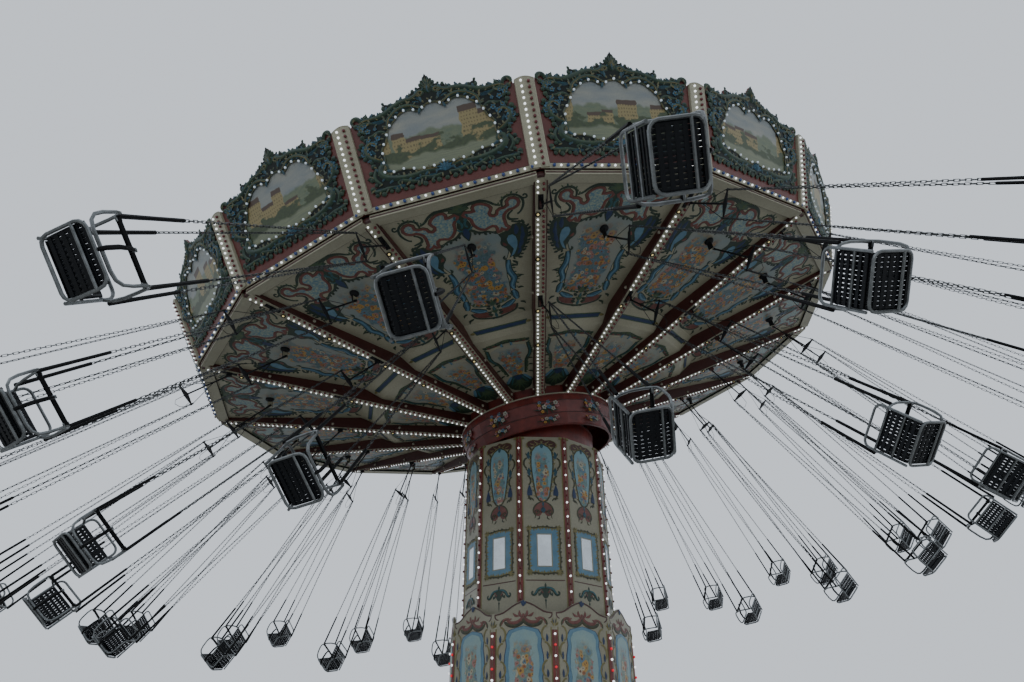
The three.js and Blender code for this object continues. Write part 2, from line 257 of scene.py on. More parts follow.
@dataclass(frozen=True)
class Finish(Surface):
    """A paint, metal or plastic with two tones that mix in patches of a real size.

    Attributes:
        name: the material's name.
        tone: its colour.
        second: the colour of its worn, dusty or overpainted patches.
        patch_mm: size of these patches.
        grain_mm: size of brush marks and specks. Real ones are 1 to 3 mm wide, too fine to show in a view
            of the whole ride, so they are drawn as coarse as they need to be to show.
        roughness: how far its reflections blur.
        metallic: how far it is bare metal.
        bump: depth of the grain.
        contrast: how softly the patches change, 0 for hard edges.
        gloss: strength of its reflections.
    """

    name: str
    tone: str
    second: str
    patch_mm: float = 400
    grain_mm: float = 12
    roughness: float = 0.45
    metallic: float = 0.0
    bump: float = 0.15
    contrast: float = 0.5
    gloss: float = 0.5

    def shader(self, tree: NodeTree) -> bpy.types.Node:
        """Adds the two tones in patches, and the grain that darkens, roughens and embosses them.

        Args:
            tree: the material's empty node tree.

        Returns:
            The shader node.
        """
        place = add_node(tree, "TexCoord").outputs["Object"]
        patches = add_node(
            tree, "TexNoise", {"Scale": 1000 / self.patch_mm, "Detail": 5.0, "Roughness": 0.6, "Vector": place}
        ).outputs["Fac"]
        spread = add_node(tree, "MapRange", {
            "From Min": 0.5 - 0.5 * self.contrast, "From Max": 0.5 + 0.5 * self.contrast, "Value": patches,
        })
        grain = add_node(
            tree, "TexNoise", {"Scale": 1000 / self.grain_mm, "Detail": 3.0, "Roughness": 0.7, "Vector": place}
        ).outputs["Fac"]
        tone = add_node(tree, "Mix", {
            "data_type": "RGBA", "Factor": spread.outputs["Result"], 6: self.tone, 7: self.second,
        })
        worn = add_node(tree, "MapRange", {
            "From Min": 0.35, "From Max": 0.75, "To Min": 0.88, "To Max": 1.08, "Value": grain,
        })
        colour = add_node(tree, "VectorMath", {
            "operation": "SCALE", 0: tone.outputs[2], "Scale": worn.outputs["Result"],
        })
        rough = add_node(tree, "MapRange", {
            "To Min": self.roughness - 0.1, "To Max": self.roughness + 0.15, "Value": patches,
        })
        relief = add_node(tree, "Bump", {
            "Strength": self.bump, "Distance": self.grain_mm * MM * 0.2, "Height": grain,
        })
        return add_node(tree, "BsdfPrincipled", {
            "Metallic": self.metallic, "Specular IOR Level": self.gloss, "Base Color": colour.outputs[0],
            "Roughness": rough.outputs["Result"], "Normal": relief.outputs["Normal"],
        })


@dataclass(frozen=True)
class Lamp(Surface):
    """A small frosted lamp: its glass colour, and how much light of its own it gives."""

    name: str
    glass: str
    glow: float
    roughness: float = 0.25

    def shader(self, tree: NodeTree) -> bpy.types.Node:
        """Adds the glass, which has burnt a little differently in each lamp, so it varies over some 90 mm.

        Args:
            tree: the material's empty node tree.

        Returns:
            The shader node.
        """
        place = add_node(tree, "TexCoord").outputs["Object"]
        age = add_node(tree, "TexNoise", {"Scale": 11.0, "Detail": 0.0, "Vector": place}).outputs["Fac"]
        lift = add_node(tree, "MapRange", {"To Min": 0.8, "To Max": 1.1, "Value": age}).outputs["Result"]
        glass = add_node(tree, "RGB").outputs[0]
        glass.default_value = linear(self.glass)
        tone = add_node(tree, "VectorMath", {"operation": "SCALE", 0: glass, "Scale": lift}).outputs[0]
        return add_node(tree, "BsdfPrincipled", {
            "Roughness": self.roughness, "Coat Weight": 0.4, "Emission Strength": self.glow,
            "Base Color": tone, "Emission Color": tone,
        })


# Enamel brushed on boards and sheet: a soft sheen, yellowed and dusty in broad patches.
CREAM = Finish("cream_enamel", "A3A08B", "8B8873", patch_mm=900, grain_mm=25, roughness=0.42)
# The same enamel on the tower, greyer and duller: its darker tone is painted shade for the canopy's shadow over the
# tower.
TOWER_CREAM_PAINTED_SHADE = Finish("shaded_tower_cream", "928F7B", "7D7A67", patch_mm=900, grain_mm=25, roughness=0.42)
# Brushed dark red enamel: deep, with a dim reflection of the sky.
MAROON = Finish("maroon_enamel", "4A201B", "371714", patch_mm=700, grain_mm=20, roughness=0.4)
# Brushed brick red enamel on the boards: chalky where it has weathered.
BRICK = Finish("brick_red_enamel", "6A332C", "55261F", patch_mm=600, grain_mm=25, roughness=0.4)
# Oxide red enamel over older coats: dark streaks come through where it is worn.
RED = Finish("oxide_red_enamel", "74291F", "4B1A16", patch_mm=160, grain_mm=24, roughness=0.38, contrast=0.4)
# Hot-dip galvanised tube: a metal with fine spangle and soft highlights along its bends.
GALVANISED = Finish("grey_frame_tube", "868A8B", "5C6061", patch_mm=60, grain_mm=8, roughness=0.32, metallic=0.65)
# Zinc-plated chain gone dull: dark metal with a short glint on each link.
CHAIN = Finish("zinc_chain", "585B5B", "383A3B", patch_mm=50, grain_mm=6, roughness=0.45, metallic=0.8)
# Powder-coated black steel: nearly black, with a weak and broad highlight.
BLACK_STEEL = Finish("black_steel", "131416", "1C1D1F", patch_mm=120, grain_mm=8, roughness=0.5, gloss=0.2)
# Steel under a dark primer: a grey black, a little metallic where it is rubbed.
DARK_STEEL = Finish("primed_dark_steel", "2B2D2E", "3A3B3A", patch_mm=200, grain_mm=10, metallic=0.5)
# Moulded black plastic: smooth, so that its edges catch a thin line of sky.
SLAT = Finish("black_slat_plastic", "0B0E12", "12161B", patch_mm=100, grain_mm=5, roughness=0.35, gloss=0.2)
# Extruded rubber hose: a matt black that gives back almost no light.
SLEEVE = Finish("black_hose_rubber", "08090A", "0E0F11", patch_mm=90, grain_mm=5, roughness=0.55, gloss=0.15)
# Coated sheet on the roof: a pale, dry grey with faint dirt runs.
CANVAS = Finish("grey_roof_sheet", "8E9290", "7B7F7D", patch_mm=900, grain_mm=30, roughness=0.6)
# Silvered glass: clear and bright, with next to no grain.
MIRROR = Finish(
    "silvered_glass", "C9CFD2", "BFC5C8", patch_mm=900, grain_mm=300, roughness=0.12, metallic=1.0, bump=0.0
)

# Painted carving: dark green brushed on thickly, mossy where older paint shows.
CARVED_GREEN = Finish("carved_dark_green", "17322B", "2C4630", patch_mm=60, grain_mm=12, contrast=0.25, bump=0.4)
# The ground of the carving: a dark green painted almost black as painted shade in its recesses, without a sheen.
CARVED_SHADE = Finish("carved_shaded_green", "08110F", "131E19", patch_mm=90, grain_mm=14, bump=0.4, gloss=0.25)
# The carving's raised leaves and mouldings: green with olive patches, lighter than the carving round them, partly as a
# painted highlight.
CARVED_LEAF_AND_HIGHLIGHT = Finish("carved_green_and_highlight", "2C443C", "66603C", patch_mm=60, grain_mm=9, contrast=0.22, bump=0.4)
# Painted carving: a strong teal with darker brush marks.
CARVED_BLUE = Finish("carved_deep_teal", "23505C", "183544", patch_mm=60, grain_mm=14, contrast=0.4, bump=0.3)
# Bronze paint on the flowers' eyes and the carving's ridges, a dull gold that has browned; along the ridges it also
# serves as painted highlight.
OLD_GOLD_AND_HIGHLIGHT = Finish("old_gold_paint_and_highlight", "7C6E3C", "4F4A2B", patch_mm=60, grain_mm=10, contrast=0.4, bump=0.3)
# Enamel on small cast petals: a clean mid blue, darker in its hollows.
ROSETTE_BLUE = Finish("rosette_blue", "35667E", "204454", patch_mm=40, grain_mm=8, contrast=0.4)

# Signwriter's enamels laid on by hand, all with the soft sheen of an old coat of varnish:
# a light blue brushed unevenly,
SKY_BLUE = Finish("light_blue_paint", "5F8496", "486F86", patch_mm=120, grain_mm=15, contrast=0.5)
# the same blue sponged over cream in small spots,
MOTTLED_BLUE = Finish("mottled_blue_paint", "4F7689", "97A08C", patch_mm=30, grain_mm=9, contrast=0.22)
# a navy that is solid and dark,
NAVY = Finish("navy_paint", "15264A", "1E3858", patch_mm=90, grain_mm=10, contrast=0.4)
# a mid green and a dark one, shaded with olive as leaves are,
LEAF_GREEN = Finish("painted_leaf_green", "23463C", "4A5A34", patch_mm=60, grain_mm=9, contrast=0.35)
DARK_GREEN = Finish("painted_dark_green", "142A26", "2A3C28", patch_mm=60, grain_mm=9, contrast=0.35)
# a teal for the accents,
TEAL = Finish("painted_teal", "2A5D66", "1F4A49", patch_mm=60, grain_mm=9, contrast=0.35)
# a rose that has faded towards brown,
DUSTY_ROSE = Finish("dusty_rose_paint", "74453D", "59302B", patch_mm=80, grain_mm=12, contrast=0.4)
# an olive gold for mouldings and linings, and the black olive that outlines them,
OLIVE_GOLD = Finish("olive_gold_paint", "7D7444", "5D5A34", patch_mm=120, grain_mm=12, contrast=0.4)
BLACK_OLIVE = Finish("black_olive_paint", "1C2620", "45431F", patch_mm=50, grain_mm=8, contrast=0.3)
# and four petal colours, each with a darker tone of its own where the brush was wet.
PETAL_TONES = tuple(
    Finish(f"petal_{colour}", tone, second, patch_mm=40, grain_mm=6)
    for colour, tone, second in (
        ("yellow", "C99A45", "A8762F"), ("pink", "B98484", "8F5C60"), ("white", "B5B4A6", "8F9187"),
        ("blue", "5F86A0", "426680"),
    )
)

# Blown glass lamps, frosted or dyed: lit ones glow evenly, and unlit ones show their smoky glass.
WHITE_LAMP = Lamp("white_lamp", "EEF3F6", 1.5)
FROSTED_LAMP = Lamp("frosted_lamp", "C2CDD6", 0.4)
UNLIT_LAMP = Lamp("unlit_grey_lamp", "8C8478", 0.05)
RED_LAMP = Lamp("dark_red_lamp", "5E1216", 0.03)
BLUE_LAMP = Lamp("blue_lamp", "1B3A74", 0.1)
CLEAR_LAMP = Lamp("warm_clear_lamp", "D9C68A", 0.8)
LIT_RED_LAMP = Lamp("lit_red_lamp", "C8202A", 0.9)


def pick(*pieces: Piece) -> None:
    """Selects only these pieces, and makes the first one active.

    Args:
        pieces: one or more pieces.
    """
    bpy.ops.object.select_all(action="DESELECT")
    for piece in pieces:
        piece.select_set(True)
    bpy.context.view_layer.objects.active = pieces[0]


def named(name: str, finish: Surface | None = None) -> Piece:
    """Names the active object, and gives it a finish where one is given.

    Args:
        name: its name.
        finish: its surface, or nothing to keep the one it has.

    Returns:
        The active object.
    """
    piece = bpy.context.active_object
    piece.name = name
    piece.data.name = name
    if finish:
        piece.data.materials.clear()
        piece.data.materials.append(finish.material())
    return piece


def settle(piece: Piece) -> Piece:
    """Applies a piece's modifiers and its place, so that its mesh holds both.

    Args:
        piece: the piece.

    Returns:
        The same piece.
    """
    pick(piece)
    for modifier in list(piece.modifiers):
        bpy.ops.object.modifier_apply(modifier=modifier.name)
    bpy.ops.object.transform_apply(location=True, rotation=True, scale=True)
    return piece


def smoothed(piece: Piece, angle_deg: float) -> Piece:
    """Shades a piece smooth, apart from its edges that are sharper than an angle.

    Args:
        piece: the piece.
        angle_deg: the angle.

    Returns:
        The same piece.
    """
    pick(piece)
    bpy.ops.object.shade_smooth_by_angle(angle=math.radians(angle_deg))
    return piece


def joined(pieces: Sequence[Piece], name: str) -> Piece:
    """Joins pieces into one and names it.

    Args:
        pieces: the pieces.
        name: the joined piece's name.

    Returns:
        The joined piece.
    """
    pick(*pieces)
    if len(pieces) > 1:
        bpy.ops.object.join()
    return named(name)


def copy_to(piece: Piece, place: Matrix, name: str) -> Piece:
    """Copies a piece with its own mesh, moved to a place that is baked into the mesh.

    Args:
        piece: the piece.
        place: where the copy goes.
        name: the copy's name.

    Returns:
        The copy.
    """
    twin = piece.copy()
    twin.data = piece.data.copy()
    twin.name = twin.data.name = name
    twin.data.transform(place)
    bpy.context.scene.collection.objects.link(twin)
    return twin


def drop(*pieces: Piece) -> None:
    """Deletes pieces that were only models for copies."""
    for piece in pieces:
        bpy.data.objects.remove(piece)


def repeated(piece: Piece, places: Sequence[Matrix], name: str) -> Piece:
    """Copies a modelled piece to each place, and joins the copies into one piece.

    Args:
        piece: the model, which is deleted afterwards.
        places: where the copies go.
        name: the joined piece's name.

    Returns:
        The joined piece.
    """
    twins = [copy_to(piece, place, f"{name}_copy") for place in places]
    drop(piece)
    return joined(twins, name)


def tube(
    name: str,
    points: Sequence[Corner],
    radius: float | Sequence[float],
    finish: Finish,
    closed: bool = False,
    sides: int = 1,
) -> Piece:
    """Draws a round tube along points, in millimetres, as a bevelled curve made a mesh.

    Args:
        name: the piece's name.
        points: the tube's centre line.
        radius: its radius, or one radius for each point.
        finish: its surface.
        closed: whether it runs round to its start.
        sides: the bevel's resolution; 0 gives four sides, 1 gives six and 2 gives eight.

    Returns:
        The tube.
    """
    path = bpy.data.curves.new(name, "CURVE")
    path.dimensions = "3D"
    path.bevel_depth = MM
    path.bevel_resolution = sides
    path.use_fill_caps = True
    run = path.splines.new("POLY")
    run.points.add(len(points) - 1)
    radii = [radius] * len(points) if isinstance(radius, (int, float)) else radius
    for spot, corner, r in zip(run.points, points, radii):
        spot.co = (corner[0] * MM, corner[1] * MM, corner[2] * MM, 1)
        spot.radius = r
    run.use_cyclic_u = closed
    run.use_smooth = True
    piece = bpy.data.objects.new(name, path)
    bpy.context.scene.collection.objects.link(piece)
    pick(piece)
    bpy.ops.object.convert(target="MESH")
    return cleaned(named(name, finish))


def cleaned(piece: Piece, gap_mm: float = 0.05) -> Piece:
    """Merges a piece's points that are closer than a gap, so that its seams are closed.

    Args:
        piece: the piece.
        gap_mm: the gap.

    Returns:
        The same piece.
    """
    pick(piece)
    bpy.ops.object.mode_set(mode="EDIT")
    bpy.ops.mesh.select_all(action="SELECT")
    bpy.ops.mesh.remove_doubles(threshold=gap_mm * MM)
    bpy.ops.object.mode_set(mode="OBJECT")
    return piece


def block(name: str, low: Corner, high: Corner, finish: Surface, bevel_mm: float = 0) -> Piece:
    """Makes a block between two corners in millimetres, with its edges bevelled where asked.

    Args:
        name: its name.
        low: its corner with the lowest X, Y and Z.
        high: its opposite corner.
        finish: its surface.
        bevel_mm: width of the bevel on its edges.

    Returns:
        The block.
    """
    middle = [(a + b) / 2 * MM for a, b in zip(low, high)]
    bpy.ops.mesh.primitive_cube_add(size=1, location=middle)
    piece = named(name, finish)
    piece.scale = [(b - a) * MM for a, b in zip(low, high)]
    settle(piece)
    if bevel_mm:
        bpy.ops.object.mode_set(mode="EDIT")
        bpy.ops.mesh.select_all(action="SELECT")
        bpy.ops.mesh.bevel(offset=bevel_mm * MM, segments=1, affect="EDGES")
        bpy.ops.object.mode_set(mode="OBJECT")
    return piece


def arc(cx: float, cy: float, r: float, start: float, stop: float, count: int) -> list[Point]:
    """Points on an arc, with its angles in degrees."""
    turns = [math.radians(start + (stop - start) * i / (count - 1)) for i in range(count)]
    return [(cx + r * math.cos(t), cy + r * math.sin(t)) for t in turns]


def loop(r: float, h: float, count: int, start: float = 0) -> list[Corner]:
    """Corners of a ring about Z at a height, from a start angle in degrees."""
    return [(x, y, h) for x, y in arc(0, 0, r, start, start + 360 * (count - 1) / count, count)]


def rounded(x0: float, y0: float, x1: float, y1: float, r: float, count: int = 4) -> list[Point]:
    """The outline of a rectangle with rounded corners, counter-clockwise.

    Args:
        x0: its left side.
        y0: its lower side.
        x1: its right side.
        y1: its upper side.
        r: radius of its corners.
        count: points on each corner.

    Returns:
        The outline's points.
    """
    return (
        arc(x1 - r, y1 - r, r, 0, 90, count) + arc(x0 + r, y1 - r, r, 90, 180, count)
        + arc(x0 + r, y0 + r, r, 180, 270, count) + arc(x1 - r, y0 + r, r, 270, 360, count)
    )


@dataclass
class Chair:
    """One chair with its hanger, spreader and four chains, in millimetres from its pivot.

    X runs outward, Y the way the rider faces, and Z up the chains.
    """

    half_wide: float = 268
    shell_half: float = 226
    top: float = -4778
    foot: float = -5262
    tube_r: float = 14
    spreader_z: float = -760
    spreader_half: float = 205
    link_pitch: float = 56
    link_wire: float = 5.5
    link_half_wide: float = 10
    sleeve_long: float = 720
    slat_pitch: float = 36
    front_joint: tuple[float, float] = (136, -104)
    rear_joint: tuple[float, float] = (-178, -132)
    pieces: list[Piece] = field(default_factory=list)

    def rod(self, name: str, points: Sequence[Corner], radius: float | None = None, closed: bool = False) -> None:
        """One bent grey tube of the frame, the main tube's size unless another one is given."""
        self.pieces.append(tube(name, points, radius or self.tube_r, GALVANISED, closed))

    def back_y(self, z: float) -> float:
        """How far back the leaning backrest is at a height."""
        return -186 - 30 * (z - self.foot) / (self.top - self.foot)

    def frames(self) -> None:
        """The rounded frames of the seat and the backrest, with the cross tubes that carry the shell."""
        wide = self.shell_half
        turn, corner = self.top - 72, wide - 72
        back = [(wide, self.foot + 6)] + arc(corner, turn, 72, 0, 90, 5) + arc(-corner, turn, 72, 90, 180, 5)
        self.rod("back_frame", [(x, self.back_y(z), z) for x, z in back + [(-wide, self.foot + 6)]])
        seat = rounded(-wide, -176, wide, 184, 66)
        self.rod("seat_frame", [(x, y, self.foot + max(0, y - 120) * 0.25) for x, y in seat], closed=True)
        for z in (self.top - 135, self.top - 320):
            y = self.back_y(z) - 4
            self.rod("back_tube", [(-wide, y, z), (wide, y, z)], 12)
        self.rod("seat_tube", [(-wide, 95, self.foot - 4), (wide, 95, self.foot - 4)], 12)

    def shell(self) -> None:
        """The black slatted shell: strips that run along the seat and up the back, with ribs across them."""
        foot, top = self.foot, self.top
        run = [(172, foot + 32), (110, foot + 16), (-120, foot + 18), (-158, foot + 50), (-172, foot + 120)]
        run += [(self.back_y(top - 150) + 14, top - 150)]
        half = self.shell_half - 22
        count = int(2 * half / self.slat_pitch)
        for number in range(count + 1):
            x = (number - count / 2) * self.slat_pitch
            strip = tube("strip", [(0, y, z) for y, z in run], [8, 8, 8, 8, 8, 6], SLAT, sides=0)
            strip.data.transform(Matrix.Translation((x * MM, 0, 0)) @ Matrix.Diagonal((2.13, 1, 1, 1)))
            self.pieces.append(strip)
        for y in (168, 112, 56, 0, -56, -114):
            self.pieces.append(block("rib", (-half, y - 16, foot + 9), (half, y + 16, foot + 17), SLAT))
        for z in (foot + 62, foot + 118, foot + 176, foot + 234, foot + 292, top - 148):
            y = self.back_y(z) + 4
            self.pieces.append(block("rib", (-half, y, z - 16), (half, y + 8, z + 16), SLAT))

    def arms(self) -> None:
        """The arm rails, which run on down the front and across it, with the lap bar and its strap."""
        y, drop_by = self.front_joint
        wide, top, foot = self.half_wide, self.top, self.foot
        right = [
            (self.shell_half, self.back_y(top - 130), top - 130), (wide - 12, -150, top - 118), (wide, -60, top - 102),
            (wide, 60, top - 96), (wide, y, top + drop_by), (wide, 184, top - 128), (wide - 4, 208, top - 184),
            (wide - 8, 212, foot + 170), (wide - 22, 208, foot + 96), (wide - 60, 202, foot + 58),
            (140, 198, foot + 46),
        ]
        self.rod("arm_loop", right + [(-a, b, c) for a, b, c in reversed(right)])
        self.pieces.append(tube("lap_bar", [(-wide, y, top + drop_by), (wide, y, top + drop_by)], 20, SLEEVE))
        for side in (-1, 1):
            low, high = sorted((side * (wide - 46), side * (wide + 4)))
            self.pieces.append(
                block("joint", (low, y - 8, top + drop_by - 28), (high, y + 8, top + drop_by + 28), GALVANISED, 4)
            )
        strap = [(8, 200, foot + 16), (8, 226, foot + 60), (8, 232, foot + 170), (8, 196, foot + 310)]
        strap.append((8, y + 22, top + drop_by))
        self.pieces.append(tube("strap", strap, [14, 18, 19, 18, 14], SLEEVE))
        clip_z = top + drop_by
        self.pieces.append(block("clip", (-8, y + 14, clip_z - 20), (24, y + 30, clip_z + 26), GALVANISED, 3))

    def link(self, turn_deg: float, drop: float) -> Piece:
        """One long link: a ring of four sides whose halves are drawn apart along the chain.

        Args:
            turn_deg: how far it is turned about the chain.
            drop: how far below the chain's start it is.

        Returns:
            The link.
        """
        bpy.ops.mesh.primitive_torus_add(
            major_segments=4, minor_segments=3, major_radius=self.link_half_wide * math.sqrt(2) * MM,
            minor_radius=self.link_wire * MM,
        )
        link = named("link", CHAIN)
        link.data.transform(Matrix.Rotation(math.pi / 4, 4, "Z"))
        link.data.transform(Matrix.Rotation(math.pi / 2, 4, "X"))
        reach = self.link_pitch / 2 - self.link_half_wide + self.link_wire * 0.5
        for corner in link.data.vertices:
            corner.co.z += math.copysign(reach * MM, corner.co.z)
        link.data.transform(Matrix.Rotation(math.radians(turn_deg), 4, "Z"))
        link.data.transform(Matrix.Translation((0, 0, -drop * MM)))
        return link

    def chain(self) -> None:
        """Four chains of crossed links, each in a black hose over its last stretch."""
        step = 2 * self.link_pitch * MM
        pair = joined([self.link(45, 0), self.link(135, self.link_pitch)], "link_pair")
        for side in (-1, 1):
            for end in (-1, 1):
                start = Vector((side * 185, end * 4, self.spreader_z)) * MM
                y, drop_by = self.front_joint if end > 0 else self.rear_joint
                stop = Vector((side * (self.half_wide - 4), y, self.top + drop_by + 10)) * MM
                taut = stop - start
                bare = taut.length - self.sleeve_long * MM
                run = copy_to(pair, Matrix.Identity(4), "chain")
                array = run.modifiers.new("links", "ARRAY")
                array.count = int(bare / step) + 1
                array.use_relative_offset = False
                array.use_constant_offset = True
                array.constant_offset_displace = (0, 0, -step)
                settle(run)
                run.data.transform(Matrix.Translation(start) @ taut.to_track_quat("-Z", "Y").to_matrix().to_4x4())
                self.pieces.append(run)
                begin = start + taut.normalized() * bare
                hose = [tuple(begin / MM), tuple((begin + stop) / 2 / MM), tuple(stop / MM)]
                self.pieces.append(tube("hose", hose, [17, 17, 19], SLEEVE))
        drop(pair)

    def hanger(self) -> None:
        """The black rod from the pivot, the lens-shaped spreader, its stays and the loose safety cable."""
        z = self.spreader_z
        half = self.spreader_half
        self.pieces.append(block("hanger_head", (-17, 1, -70), (17, 26, 22), BLACK_STEEL, 3))
        self.pieces.append(tube("hanger_rod", [(0, 12, -60), (0, 4, z + 20)], 14, BLACK_STEEL))
        arm = [(-half, 0, z - 6), (-half * 0.5, 0, z), (0, 0, z + 6), (half * 0.5, 0, z), (half, 0, z - 6)]
        plate = tube("spreader", arm, [9, 26, 42, 26, 9], BLACK_STEEL)
        plate.data.transform(Matrix.Diagonal((1, 0.4, 1, 1)))
        self.pieces.append(plate)
        for side in (-1, 1):
            stay = [(side * 10, 12, -300), (side * half * 0.96, 0, z - 2)]
            self.pieces.append(tube("stay", stay, 5, BLACK_STEEL, sides=0))
            eye = [(side * 185, y, z + h) for y, h in rounded(-14, -18, 14, 12, 8, 2)]
            self.pieces.append(tube("eye", eye, 6, BLACK_STEEL, True, sides=0))
        drop_line = [(-150, 6, -30), (-190, 40, -110), (-170, 70, -190), (-90, 60, -225), (-20, 30, -180), (0, 6, -30)]
        self.pieces.append(tube("safety_cable", [(x, y, z + h) for x, y, h in drop_line], 4, BLACK_STEEL, sides=0))

    def build(self) -> Piece:
        """Models one chair at the origin.

        Returns:
            The joined chair, to be copied to every pivot.
        """
        self.frames()
        self.shell()
        self.arms()
        self.hanger()
        self.chain()
        return smoothed(joined(self.pieces, "chair_model"), 50)


def hang_chairs() -> None:
    """Copies the chair to its place in each ring, where it stands for its solid."""
    model = Chair().build()
    LOG.info("chair model: %d faces", len(model.data.polygons))
    for ring in Ring:
        for bay in range(RIDE.bays):
            node = f"{ring.label}_chair_{bay + 1:02d}"
            chair = copy_to(model, ring.chair(bay), f"{node}_dressed")
            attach(chair, node)
            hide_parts(node)
    drop(model)


def facing(angle_deg: float, r: float, h: float) -> Matrix:
    """A place on a round: X with the turn, Y up, Z outward, in metres from millimetres.

    Args:
        angle_deg: compass angle.
        r: distance from the axis.
        h: height.

    Returns:
        The place.
    """
    turn = math.radians(angle_deg)
    outward = Vector((math.cos(turn), math.sin(turn), 0))
    along = Vector((-outward.y, outward.x, 0))
    place = Matrix((along, Vector((0, 0, 1)), outward)).transposed().to_4x4()
    return Matrix.Translation((outward * r + Vector((0, 0, h))) * MM) @ place


@dataclass
class Stroke:
    """One stroke of scroll work: its centre line and its half width at each point, in millimetres."""

    points: list[Point]
    half: list[float]
    closed: bool = False

    def mirrored(self) -> "Stroke":
        """The same stroke on the other side of the panel's middle line."""
        return Stroke([(-x, y) for x, y in reversed(self.points)], self.half[::-1], self.closed)

    def narrowed(self, share: float) -> "Stroke":
        """The same line with a share of its width."""
        return Stroke(self.points, [half * share for half in self.half], self.closed)

    def widened(self, gap: float) -> "Stroke":
        """The same line, wider by a gap on each side."""
        return Stroke(self.points, [half + gap for half in self.half], self.closed)

    def beside(self, gap: float, share: float) -> "Stroke":
        """A narrower line that runs along this one, a gap to its left."""
        return Stroke(moved(self.points, gap, self.closed), [half * share for half in self.half], self.closed)


def line(points: Sequence[Point], half: float, closed: bool = False) -> Stroke:
    """A stroke of even width."""
    return Stroke(list(points), [half] * len(points), closed)


class Bulge(Enum):
    """The side of the line between a scroll's two eyes on which its back lies."""

    LEFT = -1
    RIGHT = 1


def scroll(
    x: float, y: float, long: float, angle: float, half: float, bulge: Bulge = Bulge.LEFT, count: int = 8
) -> Stroke:
    """A scroll whose two ends curl in to one side.

    Args:
        x: its middle along the panel.
        y: its middle up the panel.
        long: distance between its two eyes.
        angle: direction of the line between them, in degrees.
        half: half width at its middle.
        bulge: the side of that line on which its back lies.
        count: number of points.

    Returns:
        The scroll's stroke.
    """
    spots, spot = [], complex(0, 0)
    steps = 60
    for i in range(steps + 1):
        u = 2 * i / steps - 1
        curl = 1.25 * abs(u) + 3.1 * abs(u) ** 7
        heading = bulge.value * math.copysign(curl, u)
        spots.append(spot)
        stride = 1 / (1 + 4 * abs(u) ** 6)
        spot += complex(math.cos(heading), math.sin(heading)) * stride
    picked = [spots[round(steps * i / (count - 1))] for i in range(count)]
    chord = picked[-1] - picked[0]
    middle = (picked[-1] + picked[0]) / 2
    turn = complex(math.cos(math.radians(angle)), math.sin(math.radians(angle))) * long / chord
    placed = [(p - middle) * turn + complex(x, y) for p in picked]
    widths = [half * (0.55 + 0.45 * math.cos(math.pi / 2 * (2 * i / (count - 1) - 1))) for i in range(count)]
    widths[0] = widths[-1] = half * 0.85
    return Stroke([(p.real, p.imag) for p in placed], widths)


def leaf(x: float, y: float, long: float, angle: float, half: float, bend: float = 25) -> Stroke:
    """A leaf that starts at a point, bends by an angle and ends in a tip.

    Args:
        x: where it starts along the panel.
        y: where it starts up the panel.
        long: its length.
        angle: its direction in degrees.
        half: half width at its widest.
        bend: how far it bends, in degrees.

    Returns:
        The leaf's stroke.
    """
    spots, widths = [(x, y)], [half * 0.35]
    for step, width in enumerate((1.0, 0.85, 0.1)):
        turn = math.radians(angle + bend * (step - 1))
        x += long / 3 * math.cos(turn)
        y += long / 3 * math.sin(turn)
        spots.append((x, y))
        widths.append(half * width)
    return Stroke(spots, widths)


def fan(x: float, y: float, long: float, half: float, angles: Sequence[float], droop: float = 0.35) -> list[Stroke]:
    """Leaves or shell ribs that spread from one point, the middle one longest.

    Args:
        x: the point along the panel.
        y: the point up the panel.
        long: length of the middle one.
        half: half width of each.
        angles: their directions in degrees.
        droop: how much shorter the outermost ones are.

    Returns:
        Their strokes.
    """
    middle = sum(angles) / len(angles)
    widest = max(abs(angle - middle) for angle in angles) or 1
    made = []
    for angle in angles:
        off = (angle - middle) / widest
        made.append(leaf(x, y, long * (1 - droop * abs(off)), angle, half, 30 * off))
    return made


def both_sides(right: Sequence[Point]) -> list[Point]:
    """A closed outline from its right half, which runs from the foot to the head of the middle line."""
    left = [(-x, y) for x, y in reversed(right) if abs(x) > 0.01]
    return list(right) + left


def evenly(outline: Sequence[Point], count: int, closed: bool = True) -> list[Point]:
    """Points at even distances along an outline.

    Args:
        outline: the outline.
        count: number of points.
        closed: whether it runs round to its start.

    Returns:
        The points.
    """
    ring = list(outline) + ([outline[0]] if closed else [])
    lengths = [math.dist(a, b) for a, b in zip(ring, ring[1:])]
    step = sum(lengths) / (count if closed else count - 1)
    spots, walked, want = [], 0.0, 0.0
    for (a, b), long in zip(zip(ring, ring[1:]), lengths):
        while want <= walked + long + 1e-6 and len(spots) < count:
            share = (want - walked) / long
            spots.append((a[0] + (b[0] - a[0]) * share, a[1] + (b[1] - a[1]) * share))
            want += step
        walked += long
    return spots


def directions(outline: Sequence[Point], closed: bool) -> list[float]:
    """The direction of travel at each point of an outline, in radians.

    Args:
        outline: the outline.
        closed: whether it runs round to its start.

    Returns:
        The directions.
    """
    last = len(outline) - 1
    made = []
    for i in range(last + 1):
        before = outline[i - 1] if i or closed else outline[i]
        after = outline[(i + 1) % (last + 1)] if i < last or closed else outline[i]
        made.append(math.atan2(after[1] - before[1], after[0] - before[0]))
    return made


def moved(outline: Sequence[Point], gap: float, closed: bool = True) -> list[Point]:
    """An outline moved to the left of its direction of travel by a gap."""
    turns = directions(outline, closed)
    return [(x - gap * math.sin(t), y + gap * math.cos(t)) for (x, y), t in zip(outline, turns)]


